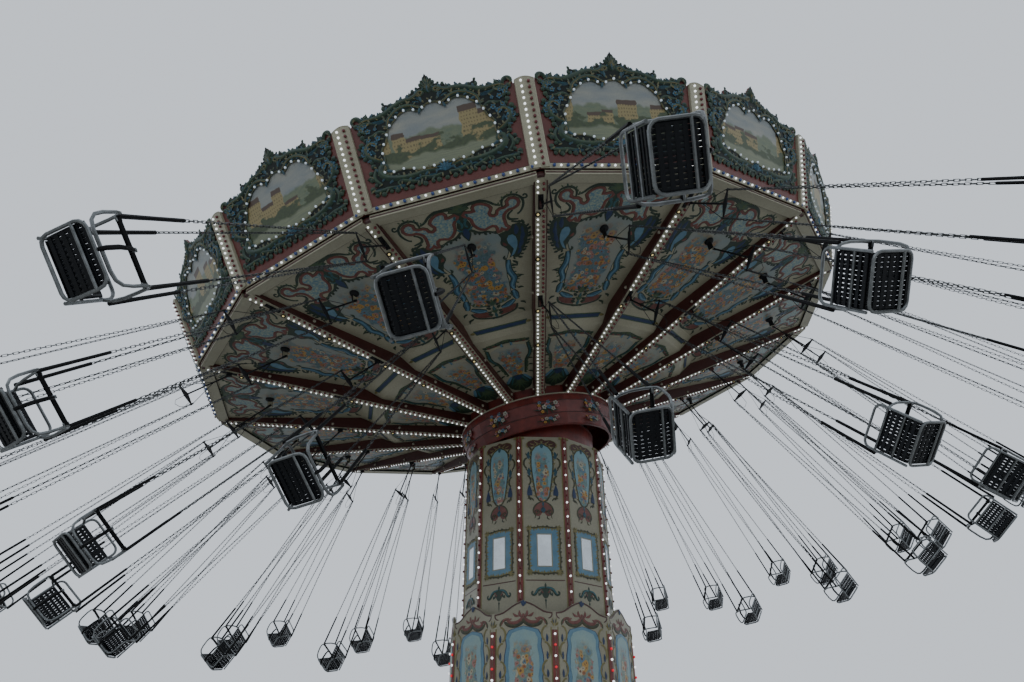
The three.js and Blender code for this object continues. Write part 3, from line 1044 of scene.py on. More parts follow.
@dataclass
class Relief:
    """Scroll work in a panel's plane: X along, Y up and Z out, in millimetres.

    Attributes:
        name: name of the finished piece.
        crown: height of a stroke's ridge as a share of its half width.
        parts: the pieces made so far.
    """

    name: str
    crown: float = 0.75
    parts: list[Piece] = field(default_factory=list)

    def curve(self, lift: float, thick: float = 0, sharp: bool = False) -> Piece:
        """Starts a flat curve; without a thickness it carries a half-round or a sharp profile.

        Args:
            lift: height of its foot over the panel.
            thick: its thickness.
            sharp: whether its profile is sharp.

        Returns:
            The curve's object, without any line yet.
        """
        path = bpy.data.curves.new(self.name, "CURVE")
        path.dimensions = "2D"
        path.fill_mode = "BOTH" if thick else "NONE"
        path.extrude = thick / 2 * MM
        path.resolution_u = 2
        if not thick:
            path.bevel_mode = "OBJECT"
            path.bevel_object = self.profile(sharp)
            path.use_fill_caps = True
        piece = bpy.data.objects.new(self.name, path)
        piece.location.z = (lift + thick / 2) * MM
        bpy.context.scene.collection.objects.link(piece)
        return piece

    def profile(self, sharp: bool) -> Piece:
        """The half-round or sharp profile that the strokes carry.

        Args:
            sharp: whether it is the sharp one.

        Returns:
            The profile's object, made once.
        """
        name = f"profile_{self.crown:.2f}_{sharp}"
        known = bpy.data.objects.get(name)
        if known:
            return known
        path = bpy.data.curves.new(name, "CURVE")
        path.dimensions = "2D"
        path.fill_mode = "NONE"
        shape = path.splines.new("POLY")
        ridge = [(-0.2, self.crown)] if sharp else [(-0.55, self.crown * 0.85), (0.3, self.crown)]
        corners = [(-1, 0), *ridge, (1, 0)]
        shape.points.add(len(corners) - 1)
        for spot, (x, y) in zip(shape.points, corners):
            spot.co = (x, y, 0, 1)
        shape.use_cyclic_u = True
        piece = bpy.data.objects.new(name, path)
        bpy.context.scene.collection.objects.link(piece)
        return piece

    def close(self, piece: Piece, finish: Surface) -> Piece:
        """Makes a drawn curve a mesh with its finish, and keeps it.

        Args:
            piece: the curve's object.
            finish: its surface.

        Returns:
            The same piece as a mesh.
        """
        pick(piece)
        bpy.ops.object.convert(target="MESH")
        self.parts.append(cleaned(settle(named(self.name, finish)), 0.2))
        return self.parts[-1]

    def draw(
        self, finish: Finish, strokes: Sequence[Stroke], lift: float = 0, both: bool = False, round_top: bool = False
    ) -> None:
        """Lays strokes on the panel.

        Args:
            finish: their surface.
            strokes: the strokes.
            lift: height of their foot over the panel.
            both: whether each one is repeated on the other side of the middle line.
            round_top: whether they have a half-round profile in place of a sharp one.
        """
        piece = self.curve(lift, 0, not round_top)
        for stroke in list(strokes) + ([s.mirrored() for s in strokes] if both else []):
            kind = "POLY" if stroke.closed else "NURBS"
            laid = piece.data.splines.new(kind)
            laid.points.add(len(stroke.points) - 1)
            for spot, (x, y), half in zip(laid.points, stroke.points, stroke.half):
                spot.co = (x * MM, y * MM, 0, 1)
                spot.radius = half * MM
            laid.use_cyclic_u = stroke.closed
            if kind == "NURBS":
                laid.order_u = min(3, len(stroke.points))
                laid.use_endpoint_u = True
                laid.resolution_u = 2
            laid.use_smooth = True
        self.close(piece, finish)

    def fill(
        self, finish: Surface, outlines: Sequence[Sequence[Point]], thick: float, lift: float = 0, both: bool = False
    ) -> Piece:
        """Lays flat fields on the panel; an outline inside another one is a hole.

        Args:
            finish: their surface.
            outlines: the closed outlines.
            thick: their thickness.
            lift: height of their foot over the panel.
            both: whether each one is repeated on the other side of the middle line.

        Returns:
            The fields as one piece.
        """
        piece = self.curve(lift, thick)
        mirrored = [[(-x, y) for x, y in reversed(o)] for o in outlines] if both else []
        for outline in list(outlines) + mirrored:
            laid = piece.data.splines.new("POLY")
            laid.points.add(len(outline) - 1)
            for spot, (x, y) in zip(laid.points, outline):
                spot.co = (x * MM, y * MM, 0, 1)
            laid.use_cyclic_u = True
        return self.close(piece, finish)

    def picture(self, finish: Surface, outline: Sequence[Point], thick: float, lift: float = 0) -> None:
        """Lays a painted field whose UV map runs from 0 to 1 over the picture's own box.

        Args:
            finish: the picture.
            outline: its closed outline.
            thick: its thickness.
            lift: height of its foot over the panel.
        """
        piece = self.fill(finish, [outline], thick, lift)
        xs, ys = [x for x, _ in outline], [y for _, y in outline]
        layer = piece.data.uv_layers[0] if piece.data.uv_layers else piece.data.uv_layers.new(name="UVMap")
        for corner in piece.data.loops:
            spot = piece.data.vertices[corner.vertex_index].co / MM
            layer.data[corner.index].uv = (
                (spot.x - min(xs)) / (max(xs) - min(xs)), (spot.y - min(ys)) / (max(ys) - min(ys)),
            )

    def rosettes(self, spots: Sequence[tuple[float, float, float]], finish: Finish, lift: float = 0) -> None:
        """Five-petalled flowers at points with their radii.

        Args:
            spots: where they are, with the radius of each.
            finish: the petals' surface.
            lift: height of their middle over the panel.
        """
        flower = rosette(finish)
        for x, y, r in spots:
            place = Matrix.Translation((x * MM, y * MM, lift * MM)) @ Matrix.Rotation(x + y, 4, "Z")
            self.parts.append(copy_to(flower, place @ Matrix.Scale(r, 4), self.name))
        drop(flower)

    def lobes(
        self, finish: Finish, path: Sequence[Point], pitch: float, long: float, wide: float, lean: float = 60,
        lift: float = 0, both: bool = False, closed: bool = False,
    ) -> None:
        """Sets small leaf lobes along a path, alternately long and short.

        Args:
            finish: their surface.
            path: the line that they grow from.
            pitch: distance between two lobes.
            long: a lobe's length.
            wide: its width.
            lean: its direction in degrees from the path's, to the left where positive.
            lift: height of their foot over the panel.
            both: whether each one is repeated on the other side of the middle line.
            closed: whether the path runs round to its start.
        """
        run = sum(math.dist(a, b) for a, b in zip(path, path[1:])) + (math.dist(path[-1], path[0]) if closed else 0)
        spots = evenly(path, max(2, round(run / pitch)), closed)
        model = lobe(finish)
        for number, ((x, y), heading) in enumerate(zip(spots, directions(spots, closed))):
            turn = heading + math.radians(lean + (12 if number % 2 else -12))
            size = 1.0 if number % 2 else 0.78
            for side in (1, -1) if both else (1,):
                aim = turn if side > 0 else math.pi - turn
                place = Matrix.Translation((side * x * MM, y * MM, lift * MM)) @ Matrix.Rotation(aim, 4, "Z")
                self.parts.append(
                    copy_to(model, place @ Matrix.Diagonal((long * size, wide * size, wide * 0.42, 1)), self.name)
                )
        drop(model)

    def build(self) -> Piece:
        """Joins everything laid so far into one piece.

        Returns:
            The joined piece.
        """
        for piece in self.parts:
            if not piece.data.uv_layers:
                piece.data.uv_layers.new(name="UVMap")
        return smoothed(joined(self.parts, self.name), 55)


def lobe(finish: Finish) -> Piece:
    """A leaf lobe of 1 mm that grows along X: a low six-sided peak drawn out to a tip.

    Args:
        finish: its surface.

    Returns:
        The lobe, as a model for copies.
    """
    bpy.ops.mesh.primitive_cone_add(vertices=6, radius1=0.5 * MM, radius2=0, depth=MM)
    model = named("lobe", finish)
    model.data.transform(Matrix.Translation((0.4 * MM, 0, 0.5 * MM)))
    for corner in model.data.vertices:
        if corner.co.z > 0.5 * MM:
            corner.co.x -= 0.1 * MM
        elif corner.co.x > 0.5 * MM:
            corner.co.x += 0.12 * MM
    return model


def rosette(finish: Finish) -> Piece:
    """A five-petalled flower of 1 mm radius, with a raised eye.

    Args:
        finish: the petals' surface.

    Returns:
        The flower, as a model for copies.
    """
    blobs = []
    for petal in range(6):
        bpy.ops.mesh.primitive_uv_sphere_add(segments=5, ring_count=2, radius=0.5 * MM)
        blob = named("petal", OLD_GOLD_AND_HIGHLIGHT if petal == 5 else finish)
        if petal == 5:
            blob.data.transform(Matrix.Diagonal((0.55, 0.55, 0.8, 1)))
        else:
            turn = Matrix.Rotation(math.tau * petal / 5, 4, "Z") @ Matrix.Translation((0.52 * MM, 0, 0))
            lean = Matrix.Rotation(math.radians(-18), 4, "Y")
            blob.data.transform(turn @ lean @ Matrix.Diagonal((1, 0.85, 0.45, 1)))
        blobs.append(blob)
    return joined(blobs, "rosette")


def bulb(name: str, lamp: Lamp, wide: float) -> Piece:
    """A lamp's dome on its socket, with its foot at the origin and Z out.

    Args:
        name: its name.
        lamp: the kind of lamp.
        wide: its width in millimetres.

    Returns:
        The dome.
    """
    bpy.ops.mesh.primitive_uv_sphere_add(segments=6, ring_count=3, radius=wide / 2 * MM)
    dome = named(name, lamp)
    dome.data.transform(Matrix.Translation((0, 0, wide * 0.22 * MM)) @ Matrix.Diagonal((1, 1, 0.9, 1)))
    pick(dome)
    bpy.ops.object.shade_smooth()
    return dome


def lamp_rows(
    name: str, lamp: Lamp, wide: float, spots: Sequence[Corner], places: Sequence[Matrix], body: str
) -> None:
    """Sets one kind of lamp at every spot of every place, as one piece.

    Args:
        name: the piece's name.
        lamp: the kind of lamp.
        wide: its width in millimetres.
        spots: where the lamps stand in a panel's own millimetres, with Z out.
        places: the panels' places.
        body: the body that carries them.
    """
    model = bulb(name, lamp, wide)
    row = repeated(model, [Matrix.Translation(Vector(spot) * MM) for spot in spots], f"{name}_row")
    carried(repeated(row, places, name), body)


def carried(piece: Piece, body: str) -> Piece:
    """Lets a piece ride a body.

    Args:
        piece: the piece.
        body: the body.

    Returns:
        The same piece.
    """
    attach(piece, body)
    return piece


# How far each copy's pictures are moved along their pattern, in widths of a picture.
PICTURE_SHIFT = 3.0


def repeated_pictures(piece: Piece, places: Sequence[Matrix], name: str) -> Piece:
    """Like repeated, with another stretch of the pictures' pattern for each copy.

    Args:
        piece: the model, which is deleted afterwards.
        places: where the copies go.
        name: the joined piece's name.

    Returns:
        The joined piece.
    """
    twins = []
    for number, place in enumerate(places):
        twin = copy_to(piece, place, f"{name}_copy")
        for layer in twin.data.uv_layers:
            for corner in layer.data:
                corner.uv.x += PICTURE_SHIFT * number
        twins.append(twin)
    drop(piece)
    return joined(twins, name)


class Motif(Enum):
    """What a painted picture shows."""

    VILLAGE = "village"
    FLOWERS = "flowers"


@dataclass(frozen=True)
class Picture(Surface):
    """A generic scene painted in oil enamel on a smooth board, drawn over its piece's own UV map.

    Its colours are broken and its edges a little soft, as a brush leaves them under varnish.

    Attributes:
        name: the material's name.
        motif: what it shows.
        ground: colour of the sky, or of the ground behind the flowers.
        haze: the ground's second colour.
        wide: width of the picture in metres, which sets the size of strokes and flowers.
        tall: its height in metres.
    """

    name: str
    motif: Motif
    ground: str
    haze: str
    wide: float
    tall: float

    def blots(self, tree: NodeTree, place: Socket, x: float, y: float, detail: float = 3.0) -> Socket:
        """Soft blots, about x of them across the picture and y up it."""
        scaled = add_node(tree, "Mapping", {"Scale": (x, y, 1), "Vector": place}).outputs[0]
        return add_node(tree, "TexNoise", {"Scale": 1.0, "Detail": detail, "Vector": scaled}).outputs["Fac"]

    def broken(self, tree: NodeTree, place: Socket, x: float, y: float, low: str, high: str) -> Socket:
        """A paint that is broken into two tones by blots."""
        blots = self.blots(tree, place, x, y)
        return add_node(tree, "Mix", {"data_type": "RGBA", "Factor": blots, 6: low, 7: high}).outputs[2]

    def layered(self, tree: NodeTree, scene: Socket, layers: Sequence[tuple]) -> Socket:
        """A scene with layers of paint over it, each as far as its own share says.

        Args:
            tree: the material's node tree.
            scene: the scene's colour.
            layers: the share and the colour of each layer, from the back to the front.

        Returns:
            The painted scene's colour.
        """
        for share, paint in layers:
            scene = add_node(tree, "Mix", {"data_type": "RGBA", "Factor": share, 6: scene, 7: paint}).outputs[2]
        return scene

    def below(self, tree: NodeTree, value: Socket, edge: float | Socket, soft: float = 0.02) -> Socket:
        """1 where a value is below an edge and 0 above it, with a soft change."""
        gap = add_node(tree, "Math", {"operation": "SUBTRACT", 0: edge, 1: value}).outputs[0]
        return add_node(tree, "MapRange", {"From Min": -soft, "From Max": soft, "Value": gap}).outputs["Result"]

    def wave(self, tree: NodeTree, noise: Socket, middle: float, swing: float) -> Socket:
        """A height that follows a noise, up to a swing over and under its middle.

        Args:
            tree: the material's node tree.
            noise: the noise.
            middle: the height's middle.
            swing: how far it goes from there.

        Returns:
            The height.
        """
        return add_node(tree, "MapRange", {
            "clamp": False, "From Min": 0.3, "From Max": 0.7, "To Min": middle - swing, "To Max": middle + swing,
            "Value": noise,
        }).outputs["Result"]

    def village(self, tree: NodeTree, place: Socket, height: Socket) -> Socket:
        """Sky, far hills, a row of ochre houses, bushes, and still water in front.

        Args:
            tree: the material's node tree.
            place: the picture's own coordinates.
            height: how far up it a point is.

        Returns:
            The scene's colour.
        """
        sky = self.broken(tree, place, 4, 7, self.ground, self.haze)
        far = self.below(tree, height, self.wave(tree, self.blots(tree, place, 5, 0.1), 0.6, 0.09))
        hills = self.broken(tree, place, 16, 20, "465B50", "757B5C")
        lots = add_node(tree, "Mapping", {"Scale": (7, 0.001, 1), "Vector": place}).outputs[0]
        house = add_node(tree, "TexVoronoi", {
            "voronoi_dimensions": "2D", "Scale": 1.0, "Randomness": 0.7, "Vector": lots,
        }).outputs["Color"]
        lot = add_node(tree, "SeparateColor", {"Color": house}).outputs
        built = self.below(tree, lot[1], 0.68, 0.01)
        roofed, walled = [
            add_node(tree, "Math", {
                "operation": "MULTIPLY", 0: self.below(tree, height, self.wave(tree, lot[0], head, swing), 0.006),
                1: built,
            }).outputs[0]
            for head, swing in ((0.67, 0.09), (0.6, 0.08))
        ]
        panes = add_node(tree, "Mapping", {"Scale": (40, 17, 1), "Vector": place}).outputs[0]
        windows = add_node(tree, "TexBrick", {
            "offset": 0.0, "Color1": "5F5638", "Color2": "716643", "Mortar": "887C53", "Scale": 1.0,
            "Mortar Size": 0.3, "Brick Width": 1.0, "Row Height": 1.0, "Vector": panes,
        }).outputs["Color"]
        bush = self.below(tree, height, self.wave(tree, self.blots(tree, place, 9, 7), 0.4, 0.17), 0.03)
        leaves = self.broken(tree, place, 40, 24, "182821", "4C5A33")
        shore = self.below(tree, height, self.wave(tree, self.blots(tree, place, 4, 0.1), 0.25, 0.05))
        ripples = self.broken(tree, place, 5, 60, "46584F", "8A8C6C")
        return self.layered(tree, sky, (
            (far, hills), (roofed, "4A3A2E"), (walled, windows), (bush, leaves), (shore, ripples),
        ))

    def flowers(self, tree: NodeTree, place: Socket, height: Socket) -> Socket:
        """A bunch of flowers with leaves between them on a clouded ground.

        Args:
            tree: the material's node tree.
            place: the picture's own coordinates.
            height: how far up it a point is.

        Returns:
            The scene's colour.
        """
        ground = self.broken(tree, place, 3, 5, self.ground, self.haze)
        along = add_node(tree, "SeparateXYZ", {"Vector": place}).outputs[0]
        across = add_node(tree, "Math", {"operation": "PINGPONG", 0: along, 1: 0.5}).outputs[0]
        inside = add_node(tree, "Math", {"operation": "MULTIPLY_ADD", 0: across, 1: 1.7, 2: -0.26}).outputs[0]
        rim = self.wave(tree, self.blots(tree, place, 7, 9), 0.12, 0.16)
        bunch = add_node(tree, "Math", {
            "operation": "MULTIPLY", 0: self.below(tree, rim, inside, 0.05),
            1: self.below(tree, height, 0.8, 0.1),
        }).outputs[0]
        leaves = self.broken(tree, place, self.wide * 26, self.tall * 26, "1F3A30", self.haze)
        layers = [(bunch, leaves)]
        # Two sizes of flowers in metres, each with its petals' reach as a share of that size.
        for number, (size, reach) in enumerate(((0.13, 0.4), (0.08, 0.36))):
            spread = add_node(tree, "Mapping", {
                "Scale": (self.wide / size, self.tall / size, 1), "Location": (number * 5.3, 2.1, 0),
                "Vector": place,
            }).outputs[0]
            bloom = add_node(tree, "TexVoronoi", {
                "voronoi_dimensions": "2D", "Scale": 1.0, "Randomness": 0.8, "Vector": spread,
            }).outputs
            chance = add_node(tree, "SeparateColor", {"Color": bloom["Color"]}).outputs
            tones = add_node(tree, "ValToRGB", {"Fac": chance[0]})
            ramp = tones.color_ramp
            ramp.interpolation = "CONSTANT"
            ramp.elements.remove(ramp.elements[1])
            for spot, tone in ((0.0, "A5803C"), (0.28, "93685F"), (0.48, "A39C84"), (0.62, "8E5A33"), (0.8, "4F6F80")):
                element = ramp.elements[0] if spot == 0 else ramp.elements.new(spot)
                element.color = linear(tone)
            heart = self.below(tree, bloom["Distance"], reach * 0.33, 0.04)
            petals = self.layered(tree, tones.outputs["Color"], [(heart, "5C3A22")])
            shown = self.below(tree, bloom["Distance"], reach, 0.05)
            for part in (self.below(tree, chance[1], 0.8, 0.01), bunch):
                shown = add_node(tree, "Math", {"operation": "MULTIPLY", 0: shown, 1: part}).outputs[0]
            layers.append((shown, petals))
        return self.layered(tree, ground, layers)

    def shader(self, tree: NodeTree) -> bpy.types.Node:
        """Adds the scene, the brush strokes that shade and emboss it, and the warp that softens its edges.

        Args:
            tree: the material's empty node tree.

        Returns:
            The shader node.
        """
        spot = add_node(tree, "UVMap").outputs[0]
        warp = add_node(tree, "TexNoise", {"Scale": 9.0, "Detail": 3.0, "Vector": spot}).outputs["Color"]
        place = add_node(tree, "VectorMath", {
            "operation": "MULTIPLY_ADD", 0: warp, 1: (0.045, 0.06, 0), 2: spot,
        }).outputs[0]
        height = add_node(tree, "SeparateXYZ", {"Vector": place}).outputs[1]
        paint = self.village if self.motif is Motif.VILLAGE else self.flowers
        brush = self.blots(tree, place, self.wide * 70, self.tall * 40, 4.0)
        worn = add_node(tree, "MapRange", {"To Min": 0.82, "To Max": 1.12, "Value": brush}).outputs["Result"]
        colour = add_node(tree, "VectorMath", {
            "operation": "SCALE", 0: paint(tree, place, height), "Scale": worn,
        }).outputs[0]
        relief = add_node(tree, "Bump", {"Strength": 0.12, "Distance": 0.002, "Height": brush}).outputs["Normal"]
        return add_node(tree, "BsdfPrincipled", {"Roughness": 0.45, "Base Color": colour, "Normal": relief})


# Oil enamel on the boards: a hazy landscape whose strokes show in a low sheen.
VILLAGE = Picture("painted_village", Motif.VILLAGE, "5A6B79", "9C9A8A", 1.6, 0.87)
# Oil enamel on the soffit and the tower: warm flowers that stand out of a greyed ground.
SOFFIT_BUNCH = Picture("painted_bunch_large", Motif.FLOWERS, "958E76", "66808A", 0.97, 1.69)
SMALL_BUNCH = Picture("painted_bunch_small", Motif.FLOWERS, "96896E", "7A8C8C", 0.63, 0.95)
TOWER_BUNCH = Picture("painted_bunch_tower", Motif.FLOWERS, "668C9C", "8FA093", 0.46, 1.08)
TALL_BUNCH = Picture("painted_bunch_tall", Motif.FLOWERS, "5F899B", "7D9C9D", 0.33, 1.05)


@dataclass
class Fascia:
    """The sixteen leaning boards with their carved frames, lamps, rails and corner strips."""

    foot_half: float = 1182
    head_half: float = 1258
    slope: float = 1221
    thick: float = 45
    inset_head: float = 1250
    inset_fade: float = 200
    inset_foot: float = 420
    side_inset: float = 0.05
    foot_inset: float = 0.18
    lamps_round: int = 32
    strip_lamps: int = 15
    strip_lamp_ends: tuple[float, float] = (66, 1212)
    rail_lamps: int = 24
    rail_lamp_half: float = 1090

    @property
    def crest(self) -> list[Point]:
        """The right half of the carved crest's edge, from the board's corner to the middle.

        Returns:
            The edge's points.
        """
        return [
            (self.head_half, 1215), (1150, 1222), (1112, 1236), (1106, 1292), (1060, 1328), (1004, 1318), (962, 1284),
            (930, 1318), (876, 1344), (884, 1290), (848, 1266), (820, 1306), (768, 1286), (700, 1282), (640, 1296),
            (612, 1320), (634, 1410), (574, 1394), (548, 1354), (470, 1378), (390, 1404), (300, 1420), (248, 1410),
            (238, 1464), (192, 1466), (140, 1504), (96, 1512), (84, 1556), (52, 1580), (44, 1620), (16, 1650),
            (0, 1684),
        ]

    @property
    def picture_edge(self) -> list[Point]:
        """The right half of the picture's lobed edge, from its foot to its head.

        Returns:
            The edge's points.
        """
        return [
            (0, 432), (60, 410), (120, 396), (200, 404), (270, 402), (340, 400), (420, 440), (520, 462), (620, 466),
            (700, 448), (760, 446), (800, 500), (786, 580), (752, 640), (750, 700), (772, 780), (736, 836), (690, 880),
            (660, 960), (636, 1040), (590, 1090), (530, 1140), (470, 1196), (410, 1226), (340, 1242), (280, 1232),
            (222, 1196), (160, 1180), (118, 1212), (66, 1252), (0, 1264),
        ]

    @property
    def flank(self) -> list[Point]:
        """The right half of the carving's foot and side, from the middle to the crest.

        Returns:
            The edge's points.
        """
        return [
            (0, 178), (90, 188), (150, 172), (230, 192), (320, 176), (400, 196), (500, 182), (600, 174), (700, 190),
            (800, 196), (870, 182), (950, 186), (1010, 178), (1046, 210), (1020, 252), (966, 282), (956, 340),
            (992, 400), (1018, 450), (1004, 520), (960, 560), (936, 620), (974, 690), (1040, 740), (1072, 800),
            (1052, 860), (1068, 900), (1012, 950), (966, 1000), (1014, 1020), (1004, 1070), (1050, 1110), (1058, 1170),
            (1010, 1216), (962, 1252),
        ]

    def inset(self, points: Sequence[Point]) -> list[Point]:
        """Draws points in from the board's foot and sides, which leaves the red band bare there.

        Args:
            points: the points.

        Returns:
            The points drawn in.
        """
        made = []
        for x, y in points:
            side = max(0.0, min(1.0, (self.inset_head - y) / self.inset_fade))
            made.append((x * (1 - self.side_inset * side), y + max(0.0, self.foot_inset * (self.inset_foot - y))))
        return made

    def boards(self) -> Piece:
        """One flat red board with its carved top edge.

        Returns:
            The board.
        """
        board = Relief("fascia_board")
        body = [(-self.foot_half, 0), (self.foot_half, 0), (self.head_half, 1215)]
        body += [(x, y - 12) for x, y in self.crest[1:]]
        body += [(-x, y) for x, y in reversed(body[2:-1])]
        board.fill(BRICK, [body], self.thick, -self.thick)
        return board.build()

    def scrolls(self) -> list[Stroke]:
        """The big scrolls of the right half, from the foot round to the crest.

        Returns:
            Their strokes.
        """
        strokes = [
            Stroke(
                [(110, 332), (240, 352), (360, 336), (480, 322), (600, 334), (720, 356), (830, 400), (898, 474),
                 (886, 556), (826, 590), (778, 548), (800, 500)],
                [14, 26, 28, 28, 30, 34, 36, 36, 32, 26, 20, 14],
            ),
            Stroke([(50, 240), (150, 216), (250, 236), (330, 276), (366, 254), (344, 226)], [14, 20, 22, 18, 14, 10]),
            Stroke([(390, 214), (490, 232), (570, 280), (640, 300), (690, 270), (660, 236)], [14, 20, 22, 20, 14, 10]),
            Stroke(
                [(700, 214), (800, 226), (890, 214), (980, 206), (1030, 220), (1010, 246)],
                [14, 22, 22, 22, 20, 12],
            ),
            Stroke(
                [(826, 636), (900, 666), (990, 716), (1044, 790), (1036, 870), (980, 926), (912, 930), (872, 890)],
                [14, 24, 28, 28, 26, 22, 18, 12],
            ),
            Stroke([(900, 310), (970, 370), (994, 440), (976, 510), (930, 560)], [12, 20, 24, 20, 12]),
            Stroke(
                [(960, 1250), (900, 1262), (820, 1252), (720, 1252), (630, 1278), (540, 1322), (440, 1364), (330, 1388),
                 (240, 1382), (170, 1416), (112, 1462), (68, 1436), (88, 1392), (134, 1384)],
                [16, 24, 26, 28, 30, 30, 30, 28, 26, 26, 24, 20, 16, 10],
            ),
            Stroke(
                [(668, 1060), (650, 1150), (570, 1226), (470, 1286), (370, 1310), (270, 1296), (206, 1262),
                 (160, 1226)],
                [14, 20, 24, 26, 26, 24, 18, 12],
            ),
            Stroke(
                [(960, 1240), (984, 1294), (1030, 1320), (1076, 1308), (1100, 1270), (1092, 1236)],
                [18, 22, 24, 22, 18, 12],
            ),
            Stroke(
                [(780, 1160), (880, 1216), (980, 1206), (1042, 1154), (1024, 1094), (972, 1076)],
                [12, 18, 22, 22, 18, 12],
            ),
            Stroke([(700, 1010), (760, 1050), (840, 1040), (900, 1010), (950, 1020)], [10, 18, 20, 16, 10]),
        ]
        return [Stroke(self.inset(stroke.points), [half * 1.3 for half in stroke.half]) for stroke in strokes]

    def carving(self) -> Piece:
        """The carved frame of one board round its picture.

        Returns:
            The carving.
        """
        frame = Relief("fascia_carving")
        edge = both_sides(self.picture_edge)
        ground = self.inset(self.flank) + [(x, y - 4) for x, y in self.crest[7:]]
        # The near-black ground of the carving is painted shade in its recesses between the scrolls.
        frame.fill(CARVED_SHADE, [both_sides(ground), edge], 26, -4)
        frame.picture(VILLAGE, moved(edge, -16), 6, 0)
        # The lighter moulding round the picture is partly a painted highlight.
        frame.draw(CARVED_LEAF_AND_HIGHLIGHT, [line(moved(edge, -6), 13, True)], 20)
        big = self.scrolls()
        frame.draw(CARVED_GREEN, big, 18, True, True)
        # Narrow gold strokes along the big scrolls' crests: gilt paint, and partly a painted highlight.
        ridges = [big[number].beside(big[number].half[2] * 0.35, 0.26) for number in (0, 4, 6, 7)]
        frame.draw(OLD_GOLD_AND_HIGHLIGHT, ridges, 36, True)
        frame.draw(CARVED_GREEN, [
            leaf(600, 1312, 108, 66, 26, 40), leaf(940, 1270, 104, 128, 24, -30), leaf(240, 1400, 80, 84, 18),
            leaf(1040, 780, 60, 10, 22), leaf(1030, 880, 60, 20, 20), leaf(990, 460, 60, -20, 24),
        ], 20, True)
        frame.draw(CARVED_BLUE, [
            leaf(640, 1178, 230, 6, 30, 8), leaf(540, 1276, 170, 150, 20, 10), leaf(130, 276, 150, 4, 28, 6),
            leaf(430, 272, 100, 178, 22), leaf(560, 244, 170, -2, 32, 4), leaf(830, 270, 130, 4, 24),
            leaf(110, 1350, 90, 30, 22), leaf(440, 1330, 120, 160, 16, 8), leaf(860, 760, 90, 60, 22),
            leaf(240, 1330, 100, 196, 16, 8),
        ], 22, True)
        frame.draw(ROSETTE_BLUE, fan(0, 296, 150, 24, range(12, 169, 26), 0.15), 24)
        frame.draw(CARVED_BLUE, [leaf(0, 1410, 120, 90, 34, 0)], 30)
        frame.draw(CARVED_GREEN, fan(0, 1400, 262, 30, range(34, 147, 16), 0.55), 22)
        # Narrow lighter ridges on the crest's fan: partly a painted highlight.
        frame.draw(CARVED_LEAF_AND_HIGHLIGHT, fan(0, 1420, 200, 9, range(42, 139, 16), 0.5), 40)
        return frame.build()

    def foliage(self) -> Piece:
        """The small leaf lobes and the blue flowers of one carved frame.

        Returns:
            The foliage.
        """
        leaves = Relief("fascia_foliage")
        leaves.lobes(CARVED_GREEN, self.inset(self.flank), 92, 66, 84, -70, 16, True)
        leaves.lobes(CARVED_GREEN, moved(self.crest[9:-3], 14, False), 68, 56, 56, -70, 12, True)
        # The lighter lobes along the picture and the scrolls are partly a painted highlight.
        leaves.lobes(CARVED_LEAF_AND_HIGHLIGHT, moved(self.picture_edge, -40, False), 80, 68, 34, -110, 20, True)
        for number, stroke in enumerate(self.scrolls()):
            path = stroke.points
            leaves.lobes(CARVED_LEAF_AND_HIGHLIGHT, path, 84, 74, 32, 62 if number in (0, 4, 6) else -62, 30, True)
            if number in (0, 4, 6, 7):
                leaves.lobes(CARVED_BLUE, path, 104, 90, 42, -62 if number != 7 else 62, 24, True)
        flowers = [
            (790, 965, 46), (852, 902, 50), (918, 972, 38), (985, 850, 64), (946, 776, 50), (1020, 788, 38),
            (900, 1090, 46), (984, 1140, 50), (1020, 1184, 32), (926, 1176, 38), (800, 1100, 30),
        ]
        leaves.rosettes(flowers + [(-x, y, r) for x, y, r in flowers], ROSETTE_BLUE, 26)
        return leaves.build()

    def strip(self) -> Piece:
        """One cream corner strip with a low peaked head and edge beads.

        Returns:
            The strip.
        """
        strip = Relief("corner_strip", 0.6)
        outline = [(-132, 6), (132, 6), (132, 1232), (70, 1262), (0, 1274), (-70, 1262), (-132, 1232)]
        strip.fill(CREAM, [outline], 56, -38)
        strip.draw(CREAM, [line([(x, 20), (x, 1230)], 9) for x in (-122, 122)], 17)
        strip.draw(CREAM, [line([(-130, 1232), (-70, 1260), (0, 1272), (70, 1260), (130, 1232)], 9)], 17)
        return strip.build()

    def rail(self) -> Piece:
        """The cream lamp rail along one board's foot, with a dark red line above it.

        Returns:
            The rail.
        """
        rail = Relief("foot_rail", 0.5)
        rail.fill(CREAM, [[(-1176, -4), (1176, -4), (1180, 64), (-1180, 64)]], 14, 0)
        rail.draw(MAROON, [line([(-1170, 70), (1170, 70)], 6)], 8)
        return rail.build()

